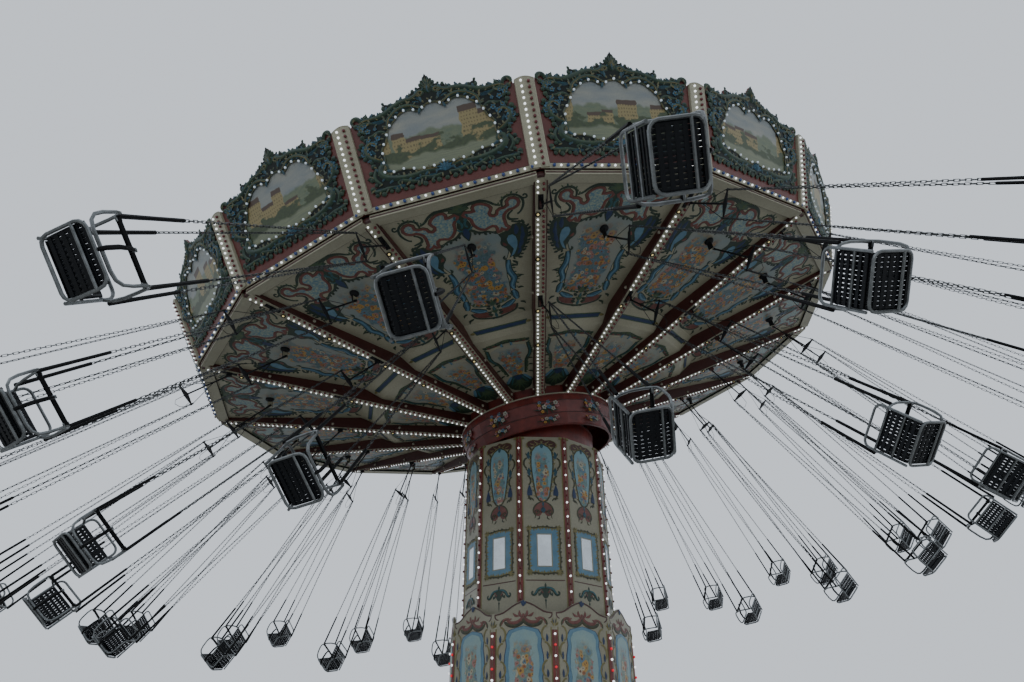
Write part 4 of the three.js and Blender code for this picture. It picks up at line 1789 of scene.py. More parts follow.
    def build(self) -> None:
        """Models one bay, repeats it round the canopy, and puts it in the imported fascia's place."""
        half = math.pi / RIDE.bays
        lean = RIDE.board_top_r - RIDE.rim_r
        tip = Matrix.Rotation(math.atan2(lean * math.cos(half), RIDE.board_top_h), 4, "X")
        post_tip = Matrix.Rotation(math.atan2(lean, RIDE.board_top_h), 4, "X")
        boards, posts = [], []
        for bay in range(RIDE.bays):
            angle = RIDE.rib_phase_deg + bay * RIDE.bay_deg
            middle = facing(angle + RIDE.bay_deg / 2, RIDE.rim_r * math.cos(half), 0)
            boards.append(RIDE.canopy() @ middle @ tip)
            posts.append(RIDE.canopy() @ facing(angle, RIDE.rim_r, 0) @ post_tip)
        body = carried(repeated(self.boards(), boards, "fascia_boards"), "canopy")
        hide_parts("fascia")
        carried(repeated_pictures(self.carving(), boards, "fascia_carvings"), "canopy")
        carried(repeated(self.foliage(), boards, "fascia_foliage"), "canopy")
        carried(repeated(self.strip(), posts, "corner_strips"), "canopy")
        carried(repeated(self.rail(), boards, "foot_rails"), "canopy")
        ring = evenly(moved(both_sides(self.picture_edge), -4), self.lamps_round)
        lamp_rows("picture_lamps", FROSTED_LAMP, 40, [(x, y, 34) for x, y in ring], boards, "canopy")
        low, high = self.strip_lamp_ends
        heights = [low + (high - low) * i / (self.strip_lamps - 1) for i in range(self.strip_lamps)]
        lamp_rows("strip_white_lamps", WHITE_LAMP, 37, [(-48, y, 20) for y in heights], posts, "canopy")
        lamp_rows("strip_red_lamps", RED_LAMP, 50, [(52, y - 20, 20) for y in heights], posts, "canopy")
        across = [self.rail_lamp_half * (2 * i / (self.rail_lamps - 1) - 1) for i in range(self.rail_lamps)]
        lamp_rows("rail_white_lamps", WHITE_LAMP, 34, [(x, 34, 14) for x in across[0::2]], boards, "canopy")
        lamp_rows("rail_blue_lamps", BLUE_LAMP, 54, [(x, 34, 14) for x in across[1::2]], boards, "canopy")


@dataclass
class Soffit:
    """The painted underside: an outer panel, a riser and an inner panel in every bay."""

    def flat(self, angle: float, inner: Point, outer: Point) -> Matrix:
        """A panel's place: X with the turn, Y up its slope to the rim, Z down out of its face.

        Args:
            angle: compass angle of the panel's middle, in degrees.
            inner: radius and height of its inner edge at a rib.
            outer: the same of its outer edge.

        Returns:
            The place.
        """
        shrink = math.cos(math.pi / RIDE.bays)
        start = Vector((inner[0] * shrink, 0, inner[1]))
        slope = (Vector((outer[0] * shrink, 0, outer[1])) - start).normalized()
        along = Vector((0, 1, 0))
        face = along.cross(slope)
        place = Matrix((along, slope, face)).transposed().to_4x4()
        turn = Matrix.Rotation(math.radians(angle), 4, "Z")
        return RIDE.canopy() @ turn @ Matrix.Translation(start * MM) @ place

    def clouds(self, panel: Relief) -> None:
        """The two mottled blue cartouches in their rose bands, and the green work round them.

        Args:
            panel: the panel that they are laid on.
        """
        cloud = [
            (36, 2286), (74, 2326), (140, 2304), (196, 2306), (190, 2368), (214, 2404), (262, 2412), (314, 2402),
            (364, 2372), (402, 2336), (424, 2288), (406, 2244), (378, 2204), (390, 2156), (432, 2130), (480, 2152),
            (498, 2206), (540, 2232), (604, 2234), (654, 2262), (656, 2330), (700, 2368), (756, 2362), (800, 2322),
            (806, 2262), (776, 2212), (720, 2184), (650, 2182), (600, 2150), (566, 2108), (552, 2050), (552, 1976),
            (556, 1910), (590, 1860), (552, 1826), (512, 1850), (490, 1874), (462, 1830), (420, 1828), (434, 1888),
            (420, 1940), (376, 1966), (322, 1954), (262, 1930), (206, 1958), (166, 2006), (138, 2056), (128, 2116),
            (126, 2170), (96, 2216), (56, 2248),
        ]
        panel.fill(MOTTLED_BLUE, [cloud], 3, 0, True)
        panel.draw(BLACK_OLIVE, [line(cloud, 30, True)], 0, True)
        panel.draw(DUSTY_ROSE, [line(cloud, 21, True)], 5, True)
        panel.draw(DARK_GREEN, [
            Stroke(
                [(60, 2440), (140, 2450), (210, 2462), (290, 2466), (370, 2436), (440, 2384), (490, 2316), (560, 2290)],
                [34, 34, 26, 24, 22, 20, 18, 14],
            ),
            Stroke(
                [(576, 2240), (574, 2330), (616, 2402), (700, 2430), (786, 2412), (850, 2352), (872, 2270), (858, 2190),
                 (820, 2120), (776, 2070), (748, 2066)],
                [12, 17, 19, 20, 19, 18, 18, 18, 16, 13, 18],
            ),
            Stroke(
                [(856, 2330), (900, 2300), (938, 2322), (930, 2368), (898, 2380), (884, 2352)],
                [16, 14, 13, 13, 13, 15],
            ),
            Stroke(
                [(700, 2150), (640, 2116), (606, 2060), (622, 2000), (680, 1984), (744, 1970)],
                [12, 16, 18, 22, 20, 12],
            ),
            Stroke([(640, 1960), (700, 1930), (770, 1900), (800, 1930)], [16, 20, 18, 22]),
            Stroke([(250, 2470), (252, 2510), (262, 2540)], [10, 12, 26]), Stroke([(170, 2460), (182, 2500)], [10, 16]),
            Stroke(
                [(40, 2010), (96, 1958), (160, 1898), (240, 1880), (320, 1876), (390, 1800)],
                [26, 26, 24, 22, 20, 12],
            ),
        ], 1, True)
        panel.lobes(LEAF_GREEN, [(30, 2520), (120, 2476), (210, 2484)], 56, 66, 50, 50, 2, True)
        panel.lobes(DARK_GREEN, [(60, 1984), (130, 1912), (240, 1872), (380, 1846)], 58, 60, 48, -60, 1, True)
        panel.lobes(LEAF_GREEN, [
            (470, 2330), (540, 2296), (600, 2380), (700, 2440), (800, 2424),
        ], 60, 50, 30, 55, 2, True)

    def middle(self, panel: Relief) -> None:
        """The green leaf work on the middle line between the clouds, with its teal scrolls and blue drop.

        Args:
            panel: the panel that it is laid on.
        """
        mass = [
            (0, 1990), (60, 2010), (100, 2080), (84, 2160), (50, 2230), (22, 2290), (60, 2350), (150, 2380),
            (110, 2470), (50, 2520), (0, 2536),
        ]
        panel.fill(DARK_GREEN, [both_sides(mass)], 3, 0)
        panel.draw(LEAF_GREEN, fan(0, 2350, 190, 26, range(14, 167, 19), 0.1), 4)
        panel.draw(TEAL, [
            scroll(52, 2250, 110, 70, 16, Bulge.RIGHT, 6), scroll(62, 2130, 130, 80, 18, Bulge.LEFT, 6),
            scroll(50, 2040, 100, 20, 16, Bulge.RIGHT, 6), leaf(20, 2200, 90, 60, 16),
        ], 5, True)
        panel.fill(NAVY, [both_sides([(0, 1820), (30, 1884), (50, 1950), (36, 2020), (0, 2050)])], 6, 2)
        panel.draw(DARK_GREEN, [Stroke([(0, 1800), (44, 1890), (62, 1960), (44, 2030)], [10, 12, 14, 12])], 2, True)

    def shoulder(self, panel: Relief) -> None:
        """The blue leaf and the light blue drop beside the head of the shield.

        Args:
            panel: the panel that they are laid on.
        """
        field = [
            (410, 1780), (440, 1690), (412, 1600), (436, 1508), (486, 1450), (500, 1340), (530, 1260), (600, 1240),
            (650, 1310), (710, 1400), (776, 1510), (818, 1640), (838, 1750), (816, 1840), (740, 1896), (640, 1900),
            (590, 1830), (500, 1800),
        ]
        panel.fill(DARK_GREEN, [field], 3, 0, True)
        panel.draw(NAVY, [
            leaf(640, 1420, 220, 66, 34, 10), leaf(700, 1560, 200, 72, 34, 10), leaf(650, 1700, 190, 80, 38, 10),
            leaf(740, 1700, 130, 80, 24, 10), leaf(600, 1310, 140, 60, 24, 10),
        ], 3, True)
        panel.lobes(DARK_GREEN, field[6:15], 64, 66, 46, -50, 2, True)
        drop_shape = [
            (494, 1292), (530, 1360), (566, 1430), (540, 1500), (512, 1570), (508, 1650), (548, 1714), (604, 1716),
            (640, 1660), (646, 1570), (630, 1480), (596, 1400), (548, 1322),
        ]
        panel.fill(SKY_BLUE, [drop_shape], 4, 3, True)
        panel.draw(DARK_GREEN, [line(moved(drop_shape, 6), 11, True)], 4, True)
        panel.draw(DARK_GREEN, [
            Stroke([(500, 1490), (440, 1520), (414, 1590), (440, 1660), (492, 1650)], [14, 18, 18, 16, 10]),
        ], 3, True)
        panel.draw(DUSTY_ROSE, [leaf(448, 1600, 90, -60, 24)], 5, True)

    def ribbon(self, panel: Relief) -> None:
        """The light blue ribbon down the shield's side, outlined in green, with its buds and rust foot.

        Args:
            panel: the panel that it is laid on.
        """
        bands = [
            Stroke(
                [(446, 1236), (418, 1140), (406, 1030), (424, 930), (456, 846), (430, 776), (392, 710), (384, 640),
                 (400, 586)],
                [16, 36, 38, 36, 42, 36, 36, 34, 14],
            ),
            Stroke([(372, 566), (394, 500), (386, 420), (402, 350)], [20, 42, 40, 20]),
            Stroke([(116, 236), (190, 240), (270, 284), (350, 346)], [14, 44, 48, 18]),
        ]
        rust = [(70, 60), (180, 76), (280, 112), (338, 172), (346, 250), (270, 226), (150, 196), (70, 190)]
        panel.fill(DUSTY_ROSE, [rust], 3, 0, True)
        panel.draw(DARK_GREEN, [band.widened(17) for band in bands], 0, True)
        panel.draw(DARK_GREEN, [
            Stroke([(0, 10), (100, 30), (200, 56), (300, 96), (356, 150), (370, 240)], [24, 20, 18, 18, 20, 16]),
        ], 1, True)
        panel.draw(ROSETTE_BLUE, bands, 6, True)
        panel.draw(SKY_BLUE, [band.narrowed(0.55) for band in bands], 10, True)
        buds = [
            (500, 1200, -70, 150), (460, 1100, -20, 100), (498, 826, 10, 120), (450, 590, -10, 110),
            (430, 270, -50, 120), (360, 120, -50, 160), (400, 1250, 80, 100),
        ]
        for x, y, angle, long in buds:
            panel.draw(DARK_GREEN, [
                leaf(x, y, long, angle, 22, -30), leaf(x, y, long * 0.7, angle + 34, 18, 30),
            ], 3, True)
        outer = [(x + 58, y) for x, y in bands[0].points[1:-1]]
        panel.lobes(LEAF_GREEN, outer, 76, 48, 32, 60, 3, True)
        panel.lobes(LEAF_GREEN, [(100, 330), (200, 356), (290, 400), (330, 480)], 58, 64, 46, 60, 3, True)
        panel.lobes(DARK_GREEN, [(40, 20), (60, 150), (50, 300), (30, 400)], 60, 84, 60, -60, 3, True)
        shells = fan(0, 330, 160, 24, range(40, 141, 25), 0.3) + fan(0, 130, 150, 22, range(50, 131, 26), 0.2)
        panel.draw(LEAF_GREEN, shells, 8)
        panel.draw(TEAL, [leaf(0, 40, 120, 90, 26, 0), leaf(0, 220, 110, 90, 22, 0)], 12)

    def outer_panel(self) -> Piece:
        """Scroll work of one outer panel, which is 2690 mm up its slope.

        Returns:
            The panel.
        """
        panel = Relief("outer_soffit_panel", 0.22)
        shield = [
            (0, 330), (110, 336), (200, 356), (290, 400), (330, 480), (338, 600), (344, 700), (356, 800), (352, 900),
            (366, 1000), (376, 1120), (398, 1230), (440, 1300), (484, 1400), (470, 1500), (416, 1600), (436, 1700),
            (410, 1790), (390, 1846), (240, 1876), (130, 1920), (50, 2010), (0, 2020),
        ]
        panel.picture(SOFFIT_BUNCH, both_sides(shield), 2, 0)
        panel.draw(DARK_GREEN, [line(both_sides(shield), 9, True)], 1)
        self.clouds(panel)
        self.middle(panel)
        self.shoulder(panel)
        self.ribbon(panel)
        return panel.build()

    def riser_bar(self) -> Piece:
        """The navy bar with gilt tips on one riser, which is 356 mm up its slope.

        Returns:
            The bar.
        """
        bar_piece = Relief("riser_bar", 0.3)
        bar_piece.fill(NAVY, [[(-400, 150), (400, 150), (432, 205), (-432, 205)]], 8, 0)
        bar_piece.draw(LEAF_GREEN, [line([(-405, 142), (405, 142), (438, 213), (-438, 213)], 9, True)], 4)
        for side in (-1, 1):
            tip = [leaf(side * 420, 178, 90, 90 - 90 * side, 26, 0)]
            bar_piece.draw(OLIVE_GOLD, tip, 4)
        bar_piece.draw(CREAM, [line([(-600, 20), (600, 20)], 14), line([(-650, 335), (650, 335)], 14)], 0)
        return bar_piece.build()

    def inner_panel(self) -> Piece:
        """Scroll work of one inner panel, which is 1650 mm up its slope.

        Returns:
            The panel.
        """
        panel = Relief("inner_soffit_panel", 0.22)
        ring = [
            (0, 500), (70, 520), (120, 600), (150, 700), (176, 800), (190, 900), (226, 980), (290, 1060), (316, 1160),
            (312, 1260), (286, 1330), (200, 1370), (110, 1400), (60, 1440), (0, 1450),
        ]
        panel.picture(SMALL_BUNCH, both_sides(ring), 3, 0)
        side = [
            (150, 560), (186, 680), (212, 800), (228, 900), (272, 980), (330, 1070), (352, 1170), (348, 1270),
            (350, 1370),
        ]
        head = [(384, 1440), (300, 1462), (200, 1470), (100, 1500), (0, 1516)]
        panel.draw(DARK_GREEN, [
            Stroke(side, [16, 28, 30, 30, 34, 34, 34, 36, 30]), Stroke(head, [30, 40, 44, 44, 50]),
        ], 2, True)
        panel.draw(TEAL, [Stroke(side[4:], [8, 14, 16, 16, 8]), leaf(60, 1400, 90, 80, 18)], 10, True)
        panel.lobes(LEAF_GREEN, side, 48, 56, 34, -60, 3, True)
        panel.lobes(LEAF_GREEN, head, 44, 64, 42, -60, 4, True)
        panel.draw(DUSTY_ROSE, [leaf(150, 1470, 100, 10, 20), leaf(270, 1440, 70, 30, 18)], 14, True)
        panel.draw(SKY_BLUE, [leaf(80, 1400, 100, 100, 20)], 12, True)
        for x, y, angle in ((262, 930, -10), (236, 760, -20), (210, 580, -40)):
            panel.draw(DARK_GREEN, [leaf(x, y, 100, angle, 22, -30)], 3, True)
        bulb_shape = [
            (0, -20), (50, 60), (140, 100), (196, 180), (214, 260), (246, 300), (226, 380), (168, 450), (100, 516),
            (0, 540),
        ]
        panel.fill(DARK_GREEN, [both_sides(bulb_shape)], 4, 0)
        panel.draw(LEAF_GREEN, fan(0, 470, 420, 24, range(232, 309, 15), 0.25), 4)
        panel.draw(SKY_BLUE, [Stroke([(110, 510), (170, 430), (210, 330)], [20, 34, 22])], 5, True)
        panel.draw(TEAL, [Stroke([(60, 500), (110, 400), (150, 280)], [12, 22, 12])], 6, True)
        panel.fill(NAVY, [both_sides([(0, 380), (50, 420), (76, 500), (0, 530)])], 6, 3)
        return panel.build()

    def build(self) -> None:
        """Models the three panels of a bay, and repeats them round the canopy."""
        hub, riser_in, riser_out, rim = RIDE.soffit_line
        angles = [RIDE.rib_phase_deg + (bay + 0.5) * RIDE.bay_deg for bay in range(RIDE.bays)]
        for name, model, inner, outer in (
            ("outer_soffit_panels", self.outer_panel(), riser_out, rim),
            ("riser_bars", self.riser_bar(), riser_in, riser_out),
            ("inner_soffit_panels", self.inner_panel(), hub, riser_in),
        ):
            places = [self.flat(angle, inner, outer) for angle in angles]
            carried(repeated_pictures(model, places, name), "canopy")


@dataclass
class Ribs:
    """The cream lamp boards under the ribs, their lamps, brackets and the rim's cream trim."""

    start_r: float = 1418
    stop_r: float = 5990
    board_half: float = 70
    row_offset: float = 40
    pitch: float = 90
    row_ends: tuple[float, float] = (45, 60)
    bracket_clear: float = 140
    clear_lamp_gaps: tuple[float, float] = (-180, -1000)
    joint_r: tuple[float, float] = (2560, 4280)
    side_lamp_r: tuple[float, ...] = (1560, 2640, 3900, 4980)
    flank_half: float = 95
    flank_up: float = 50
    trim_r: float = 6010
    trim_gap: float = 58
    trim_face_r: float = 6034.7
    trim_h: float = -74

    def place(self, bay: int) -> Matrix:
        """A rib's underside: X along it to the rim, Y against the turn, Z down out of it.

        Args:
            bay: the rib's number.

        Returns:
            The place.
        """
        run = Vector((RIDE.soffit_edge_r - RIDE.hub_r, 0, RIDE.rib_rim_h - RIDE.rib_hub_h)).normalized()
        down = run.cross(Vector((0, -1, 0))) * -1
        if down.z > 0:
            down = -down
        side = down.cross(run)
        turn = Matrix.Rotation(math.radians(RIDE.rib_phase_deg + bay * RIDE.bay_deg), 4, "Z")
        start = Matrix.Translation(Vector((RIDE.hub_r, 0, RIDE.rib_hub_h)) * MM)
        return RIDE.canopy() @ turn @ start @ Matrix((run, side, down)).transposed().to_4x4()

    def along(self, r: float) -> float:
        """Distance along the underside from the hub's radius, in millimetres."""
        run, rise = RIDE.soffit_edge_r - RIDE.hub_r, RIDE.rib_rim_h - RIDE.rib_hub_h
        return (r - RIDE.hub_r) * math.hypot(run, rise) / run

    def board(self) -> Piece:
        """The cream board of one rib, with its edge beads, end tab and joint covers.

        Returns:
            The board.
        """
        start, stop = self.along(self.start_r), self.along(self.stop_r)
        half = self.board_half
        parts = [
            block("rib_board", (start, -half, -1), (stop, half, 7), CREAM, 2),
            block("rib_tab", (start - 8, -half - 16, -1), (start + 90, half + 16, 10), CREAM, 3),
        ]
        for side in (-1, 1):
            parts.append(block("rib_bead", (start, side * half - 5, 4), (stop, side * half + 5, 11), CREAM, 2))
        for r in self.joint_r:
            spot = self.along(r)
            parts.append(block("rib_joint", (spot - 30, -half - 3, 2), (spot + 30, half + 3, 9), CREAM, 2))
        return joined(parts, "rib_board")

    def bracket(self) -> Piece:
        """The black hanger bracket on one rib, round the lug that carries a chair's rod.

        Returns:
            The bracket.
        """
        parts = [
            block("bracket", (-125, -36, 6), (125, 36, 16), BLACK_STEEL, 4),
            block("bracket", (-44, -34, 8), (44, -25, 66), BLACK_STEEL, 3),
            block("bracket", (-44, -25, 8), (-34.5, 6, 66), BLACK_STEEL, 2),
            block("bracket", (34.5, -25, 8), (44, 6, 66), BLACK_STEEL, 2),
            tube("bracket", [(0, -40, 50), (0, 4, 50)], 15, BLACK_STEEL, sides=2),
        ]
        for x in (-100, 100):
            parts.append(tube("bracket", [(x, 0, 10), (x, 0, 26)], 12, BLACK_STEEL))
        return joined(parts, "rib_bracket")

    def rim_trim(self) -> Piece:
        """The cream boards under and outside one side of the rim ring, with a black strip on the ring's inner face,
        partly dark steel and partly painted shade, and a dark red line.

        Returns:
            The trim.
        """
        long = self.trim_r * math.sin(math.pi / RIDE.bays) - self.trim_gap
        trim = Relief("rim_trim", 0.5)
        trim.fill(CREAM, [[(-long, -150), (long, -150), (long + 8, -2), (-long - 8, -2)]], 7, 0)
        # Black strip on the ring's inner face: dark steel, made black as painted shade in the gap between the soffit
        # and the rail.
        trim.fill(BLACK_STEEL, [[(-long, -154), (long, -154), (long, -150.5), (-long, -150.5)]], 44, -38)
        trim.fill(CREAM, [[(-long - 4, 0), (long + 4, 0), (long + 10, 27), (-long - 10, 27)]], 66, -60)
        trim.fill(MAROON, [[(-long, 26), (long, 26), (long, 33), (-long, 33)]], 18, -34)
        return trim.build()

    def side_lamp(self) -> Piece:
        """One small white lamp in its cup on a rib's flank, with Z out of the flank.

        Returns:
            The lamp.
        """
        cup = tube("side_cup", [(0, 0, -4), (0, 0, 14)], 26, CREAM, sides=2)
        glass = bulb("side_glass", UNLIT_LAMP, 38)
        glass.data.transform(Matrix.Translation((0, 0, 12 * MM)) @ Matrix.Diagonal((1.3, 1, 0.7, 1)))
        return joined([cup, glass], "side_lamp")

    def build(self) -> None:
        """Models one rib's dress and repeats it on every rib."""
        places = [self.place(bay) for bay in range(RIDE.bays)]
        carried(repeated(self.board(), places, "rib_boards"), "canopy")
        hangers = [self.along(ring.radius) for ring in (Ring.OUTER, Ring.INNER)]
        spots = [place @ Matrix.Translation((spot * MM, 0, 0)) for place in places for spot in hangers]
        carried(repeated(self.bracket(), spots, "rib_brackets"), "canopy")
        start, stop = self.along(self.start_r) + self.row_ends[0], self.along(self.stop_r) - self.row_ends[1]
        count = int((stop - start) / self.pitch)
        rows = [start + i * (stop - start) / count for i in range(count + 1)]
        rows = [x for x in rows if all(abs(x - spot) > self.bracket_clear for spot in hangers)]
        clear = [min(rows, key=lambda x: abs(x - spot - gap)) for spot in hangers for gap in self.clear_lamp_gaps]
        lane = self.row_offset
        white = [(x, lane, 7) for x in rows if x not in clear]
        lamp_rows("rib_white_lamps", WHITE_LAMP, 32, white, places, "canopy")
        red = [(x + self.pitch / 2, -lane, 7) for x in rows[:-1]]
        lamp_rows("rib_red_lamps", RED_LAMP, 50, red, places, "canopy")
        round_lamps = [(x, lane, 9) for x in clear]
        lamp_rows("rib_clear_lamps", CLEAR_LAMP, 38, round_lamps, places, "canopy")
        ring = tube("lamp_ring", loop(33, 12, 10), 10, BLACK_STEEL, True, 0)
        rings = [place @ Matrix.Translation(Vector(spot) * MM) for place in places for spot in round_lamps]
        carried(repeated(ring, rings, "lamp_rings"), "canopy")
        flanks = []
        for place in places:
            for side in (-1, 1):
                turn = Matrix.Rotation(math.radians(-90 * side), 4, "X")
                for r in self.side_lamp_r:
                    spot = Vector((self.along(r), self.flank_half * side, -self.flank_up)) * MM
                    flanks.append(place @ Matrix.Translation(spot) @ turn)
        carried(repeated(self.side_lamp(), flanks, "rib_side_lamps"), "canopy")
        rim = []
        for bay in range(RIDE.bays):
            angle = RIDE.rib_phase_deg + (bay + 0.5) * RIDE.bay_deg
            face = facing(angle, self.trim_face_r * math.cos(math.pi / RIDE.bays), self.trim_h)
            rim.append(RIDE.canopy() @ face @ Matrix.Rotation(math.pi / 2, 4, "X"))
        carried(repeated(self.rim_trim(), rim, "rim_trim"), "canopy")


@dataclass
class Collar:
    """The red ring under the hub, with its ledges, bands and bunches of painted flowers."""

    bunches: int = 10
    seed: int = 5

    def bunch(self) -> Piece:
        """One bunch of flowers, about 460 mm wide and 270 mm tall, on a flat ground.

        Returns:
            The bunch.
        """
        dice = random.Random(self.seed)
        flowers = Relief("collar_bunch", 0.3)
        leaves = []
        for angle in range(10, 360, 36):
            long = dice.uniform(1.0, 1.3) * (140 + 80 * abs(math.cos(math.radians(angle))))
            leaves.append(leaf(0, 0, long, angle, 18, dice.uniform(-25, 25)))
        flowers.draw(DARK_GREEN, leaves, 4)
        for number, tone in enumerate(PETAL_TONES):
            spots = []
            for step in range(3):
                turn = math.radians(90 * number + 36 + dice.uniform(-40, 40) + 97 * step)
                reach = 45 + 125 * math.sqrt(step / 2)
                spots.append((reach * 1.1 * math.cos(turn), reach * 0.66 * math.sin(turn), dice.uniform(34, 50)))
            flowers.rosettes(spots, tone, 8 + 3 * number)
        return flowers.build()

    def build(self) -> None:
        """Adds the ledge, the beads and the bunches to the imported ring."""
        rings = []
        for r, h, half, finish in (
            (1453, -1196, 14, CREAM), (1466, -1226, 9, RED), (1470, -1338, 7, MAROON), (1441, -1560, 8, MAROON),
            (1362, -1752, 12, RED),
        ):
            rings.append(tube("collar_bead", loop(r, h, 48), half, finish, True))
        beads = joined(rings, "collar_beads")
        beads.data.transform(RIDE.canopy())
        carried(beads, "canopy")
        places = []
        for number in range(self.bunches):
            angle = RIDE.tube_phase_deg + (number + 0.5) * 360 / self.bunches
            for r, h, run, size in ((1462, -1435, 30, 1.0), (1408, -1640, 80, 0.85)):
                lean = Matrix.Rotation(-math.atan2(run, 210), 4, "X")
                places.append(RIDE.canopy() @ facing(angle, r, h) @ lean @ Matrix.Scale(size, 4))
        carried(repeated(self.bunch(), places, "collar_bunches"), "canopy")


@dataclass
class Cladding:
    """A clad ten-sided tube: where its panels and its corners are.

    Attributes:
        radius: distance from the axis to a corner.
        phase_deg: compass angle of the first corner.
        zero_z: height over the ground from which the panels' own heights count.
    """

    radius: float
    phase_deg: float
    zero_z: float

    @property
    def half(self) -> float:
        """Half a panel's width."""
        return self.radius * math.sin(math.pi / RIDE.tower_sides)

    def places(self, part: float, reach: float) -> list[Matrix]:
        """Places round the tube, a part of a side past each corner, at a distance from the axis."""
        sides = RIDE.tower_sides
        return [facing(self.phase_deg + (side + part) * 360 / sides, reach, self.zero_z) for side in range(sides)]

    def middles(self) -> list[Matrix]:
        """The places of the panels, on the middle of each side."""
        return self.places(0.5, self.radius * math.cos(math.pi / RIDE.tower_sides))

    def corners(self) -> list[Matrix]:
        """The places of the corner strips."""
        return self.places(0, self.radius)

    def bent(self, flank: Relief, side: int) -> Piece:
        """Builds one flank of a corner strip and turns it to the panel on its side.

        Args:
            flank: the flank's strips.
            side: 1 for the side to the right of the corner, -1 for the other one.

        Returns:
            The flank.
        """
        piece = flank.build()
        piece.data.transform(Matrix.Rotation(math.radians(side * 180 / RIDE.tower_sides), 4, "Y"))
        return piece


@dataclass
class UpperTube(Cladding):
    """The ten painted panels of the tube that rises out of the tower, with mirrors and lamp strips."""

    radius: float = RIDE.tube_r
    phase_deg: float = RIDE.tube_phase_deg
    zero_z: float = 5000
    foot_z: float = 3060
    lamp_pitch: float = 120
    lamp_drop: float = 99
    neck_r: float = 1107
    neck_long: float = 460
    neck_z: float = 7062
    neck_bead_r: float = 1101

    def oval(self) -> list[Point]:
        """Right half of the tall cartouche, in heights over the ground less 5000 mm.

        Returns:
            The outline's points.
        """
        return [
            (0, 650), (62, 684), (108, 750), (126, 850), (150, 1000), (172, 1150), (186, 1300), (186, 1450),
            (170, 1560), (112, 1640), (0, 1700),
        ]

    def panel(self) -> Piece:
        """Scroll work of one panel, measured up from 5000 mm over the ground.

        Returns:
            The panel.
        """
        panel = Relief("tube_panel", 0.28)
        field = both_sides(self.oval())
        panel.picture(TALL_BUNCH, field, 4, 0)
        panel.draw(BLACK_OLIVE, [line(field, 18, True)], 2)
        panel.draw(BLACK_OLIVE, [
            scroll(222, 1580, 120, 70, 18), scroll(258, 1340, 170, 92, 17, Bulge.RIGHT), scroll(246, 1030, 150, 84, 17),
            scroll(188, 770, 150, 96, 17, Bulge.RIGHT), scroll(206, 688, 90, 20, 13), leaf(250, 1470, 70, 70, 11),
            leaf(252, 1200, 70, 70, 11),
        ], 3, True)
        panel.lobes(OLIVE_GOLD, moved(self.oval()[2:], -6, False), 74, 58, 26, -52, 5, True)
        panel.draw(CARVED_BLUE, [leaf(228, 1418, 132, 90, 36, 4), leaf(218, 1110, 150, 88, 36, 4)], 4, True)
        panel.draw(NAVY, [
            Stroke([(222, 940), (222, 870), (220, 800), (216, 762)], [8, 32, 48, 40]), leaf(232, 1440, 70, 90, 14, 0),
            leaf(222, 1140, 80, 88, 14, 0),
        ], 8, True)
        bow = both_sides([
            (0, 1710), (60, 1700), (120, 1656), (180, 1640), (240, 1640), (262, 1690), (220, 1738), (150, 1766),
            (60, 1758), (0, 1790),
        ])
        panel.fill(MAROON, [bow], 6, 0)
        panel.draw(OLIVE_GOLD, [line(bow, 8, True)], 4)
        panel.draw(OLIVE_GOLD, [
            leaf(60, 1706, 90, 34, 9), leaf(120, 1690, 90, 10, 9), scroll(240, 1660, 70, 80, 9, Bulge.RIGHT),
        ], 8, True)
        panel.draw(CARVED_BLUE, [leaf(0, 1616, 90, 90, 32, 0)], 6)
        heart = both_sides([
            (0, 500), (24, 462), (44, 428), (82, 412), (126, 420), (158, 452), (168, 500), (154, 552), (128, 590),
            (98, 622), (60, 642), (0, 655),
        ])
        panel.fill(DUSTY_ROSE, [heart], 4, 0)
        curl = [(56 - 5 * step, math.radians(200 - 58 * step)) for step in range(9)]
        panel.draw(BLACK_OLIVE, [
            Stroke([(106 + r * math.cos(t), 474 + r * math.sin(t)) for r, t in curl], [9] * 8 + [16]),
            Stroke(
                [(20, 654), (74, 642), (116, 608), (150, 566), (170, 506), (158, 452), (120, 418)],
                [8, 10, 12, 13, 12, 10, 8],
            ),
            leaf(66, 418, 100, -50, 12, 50), leaf(136, 424, 60, -76, 9),
        ], 4, True)
        panel.draw(CARVED_BLUE, [leaf(0, 470, 100, 90, 44, 0), leaf(0, 660, 90, -90, 20, 0)], 6)
        return panel.build()

    def mirror(self) -> Piece:
        """The mirror pane in its light blue frame, the red line and the green ornament below it.

        Returns:
            The panel.
        """
        panel = Relief("tube_mirror_panel", 0.4)
        outer = [
            (-250, -505), (-150, -492), (-60, -508), (60, -508), (150, -492), (250, -505), (238, -400), (252, -280),
            (238, -150), (252, -20), (238, 110), (250, 215), (150, 204), (60, 222), (-60, 222), (-150, 204),
            (-250, 215), (-238, 110), (-252, -20), (-238, -150), (-252, -280), (-238, -400),
        ]
        pane = [(-118, -405), (122, -405), (122, 115), (-118, 115)]
        panel.fill(SKY_BLUE, [outer, pane], 8, 0)
        panel.fill(MIRROR, [[(x * 1.02, y) for x, y in pane]], 4, 0)
        panel.draw(BLACK_OLIVE, [line(outer, 22, True)], 3)
        panel.draw(OLIVE_GOLD, [line(moved(outer, 6), 8, True)], 9)
        panel.lobes(OLIVE_GOLD, outer, 50, 50, 34, 100, 6, closed=True)
        panel.lobes(BLACK_OLIVE, outer, 74, 46, 34, -70, 4, closed=True)
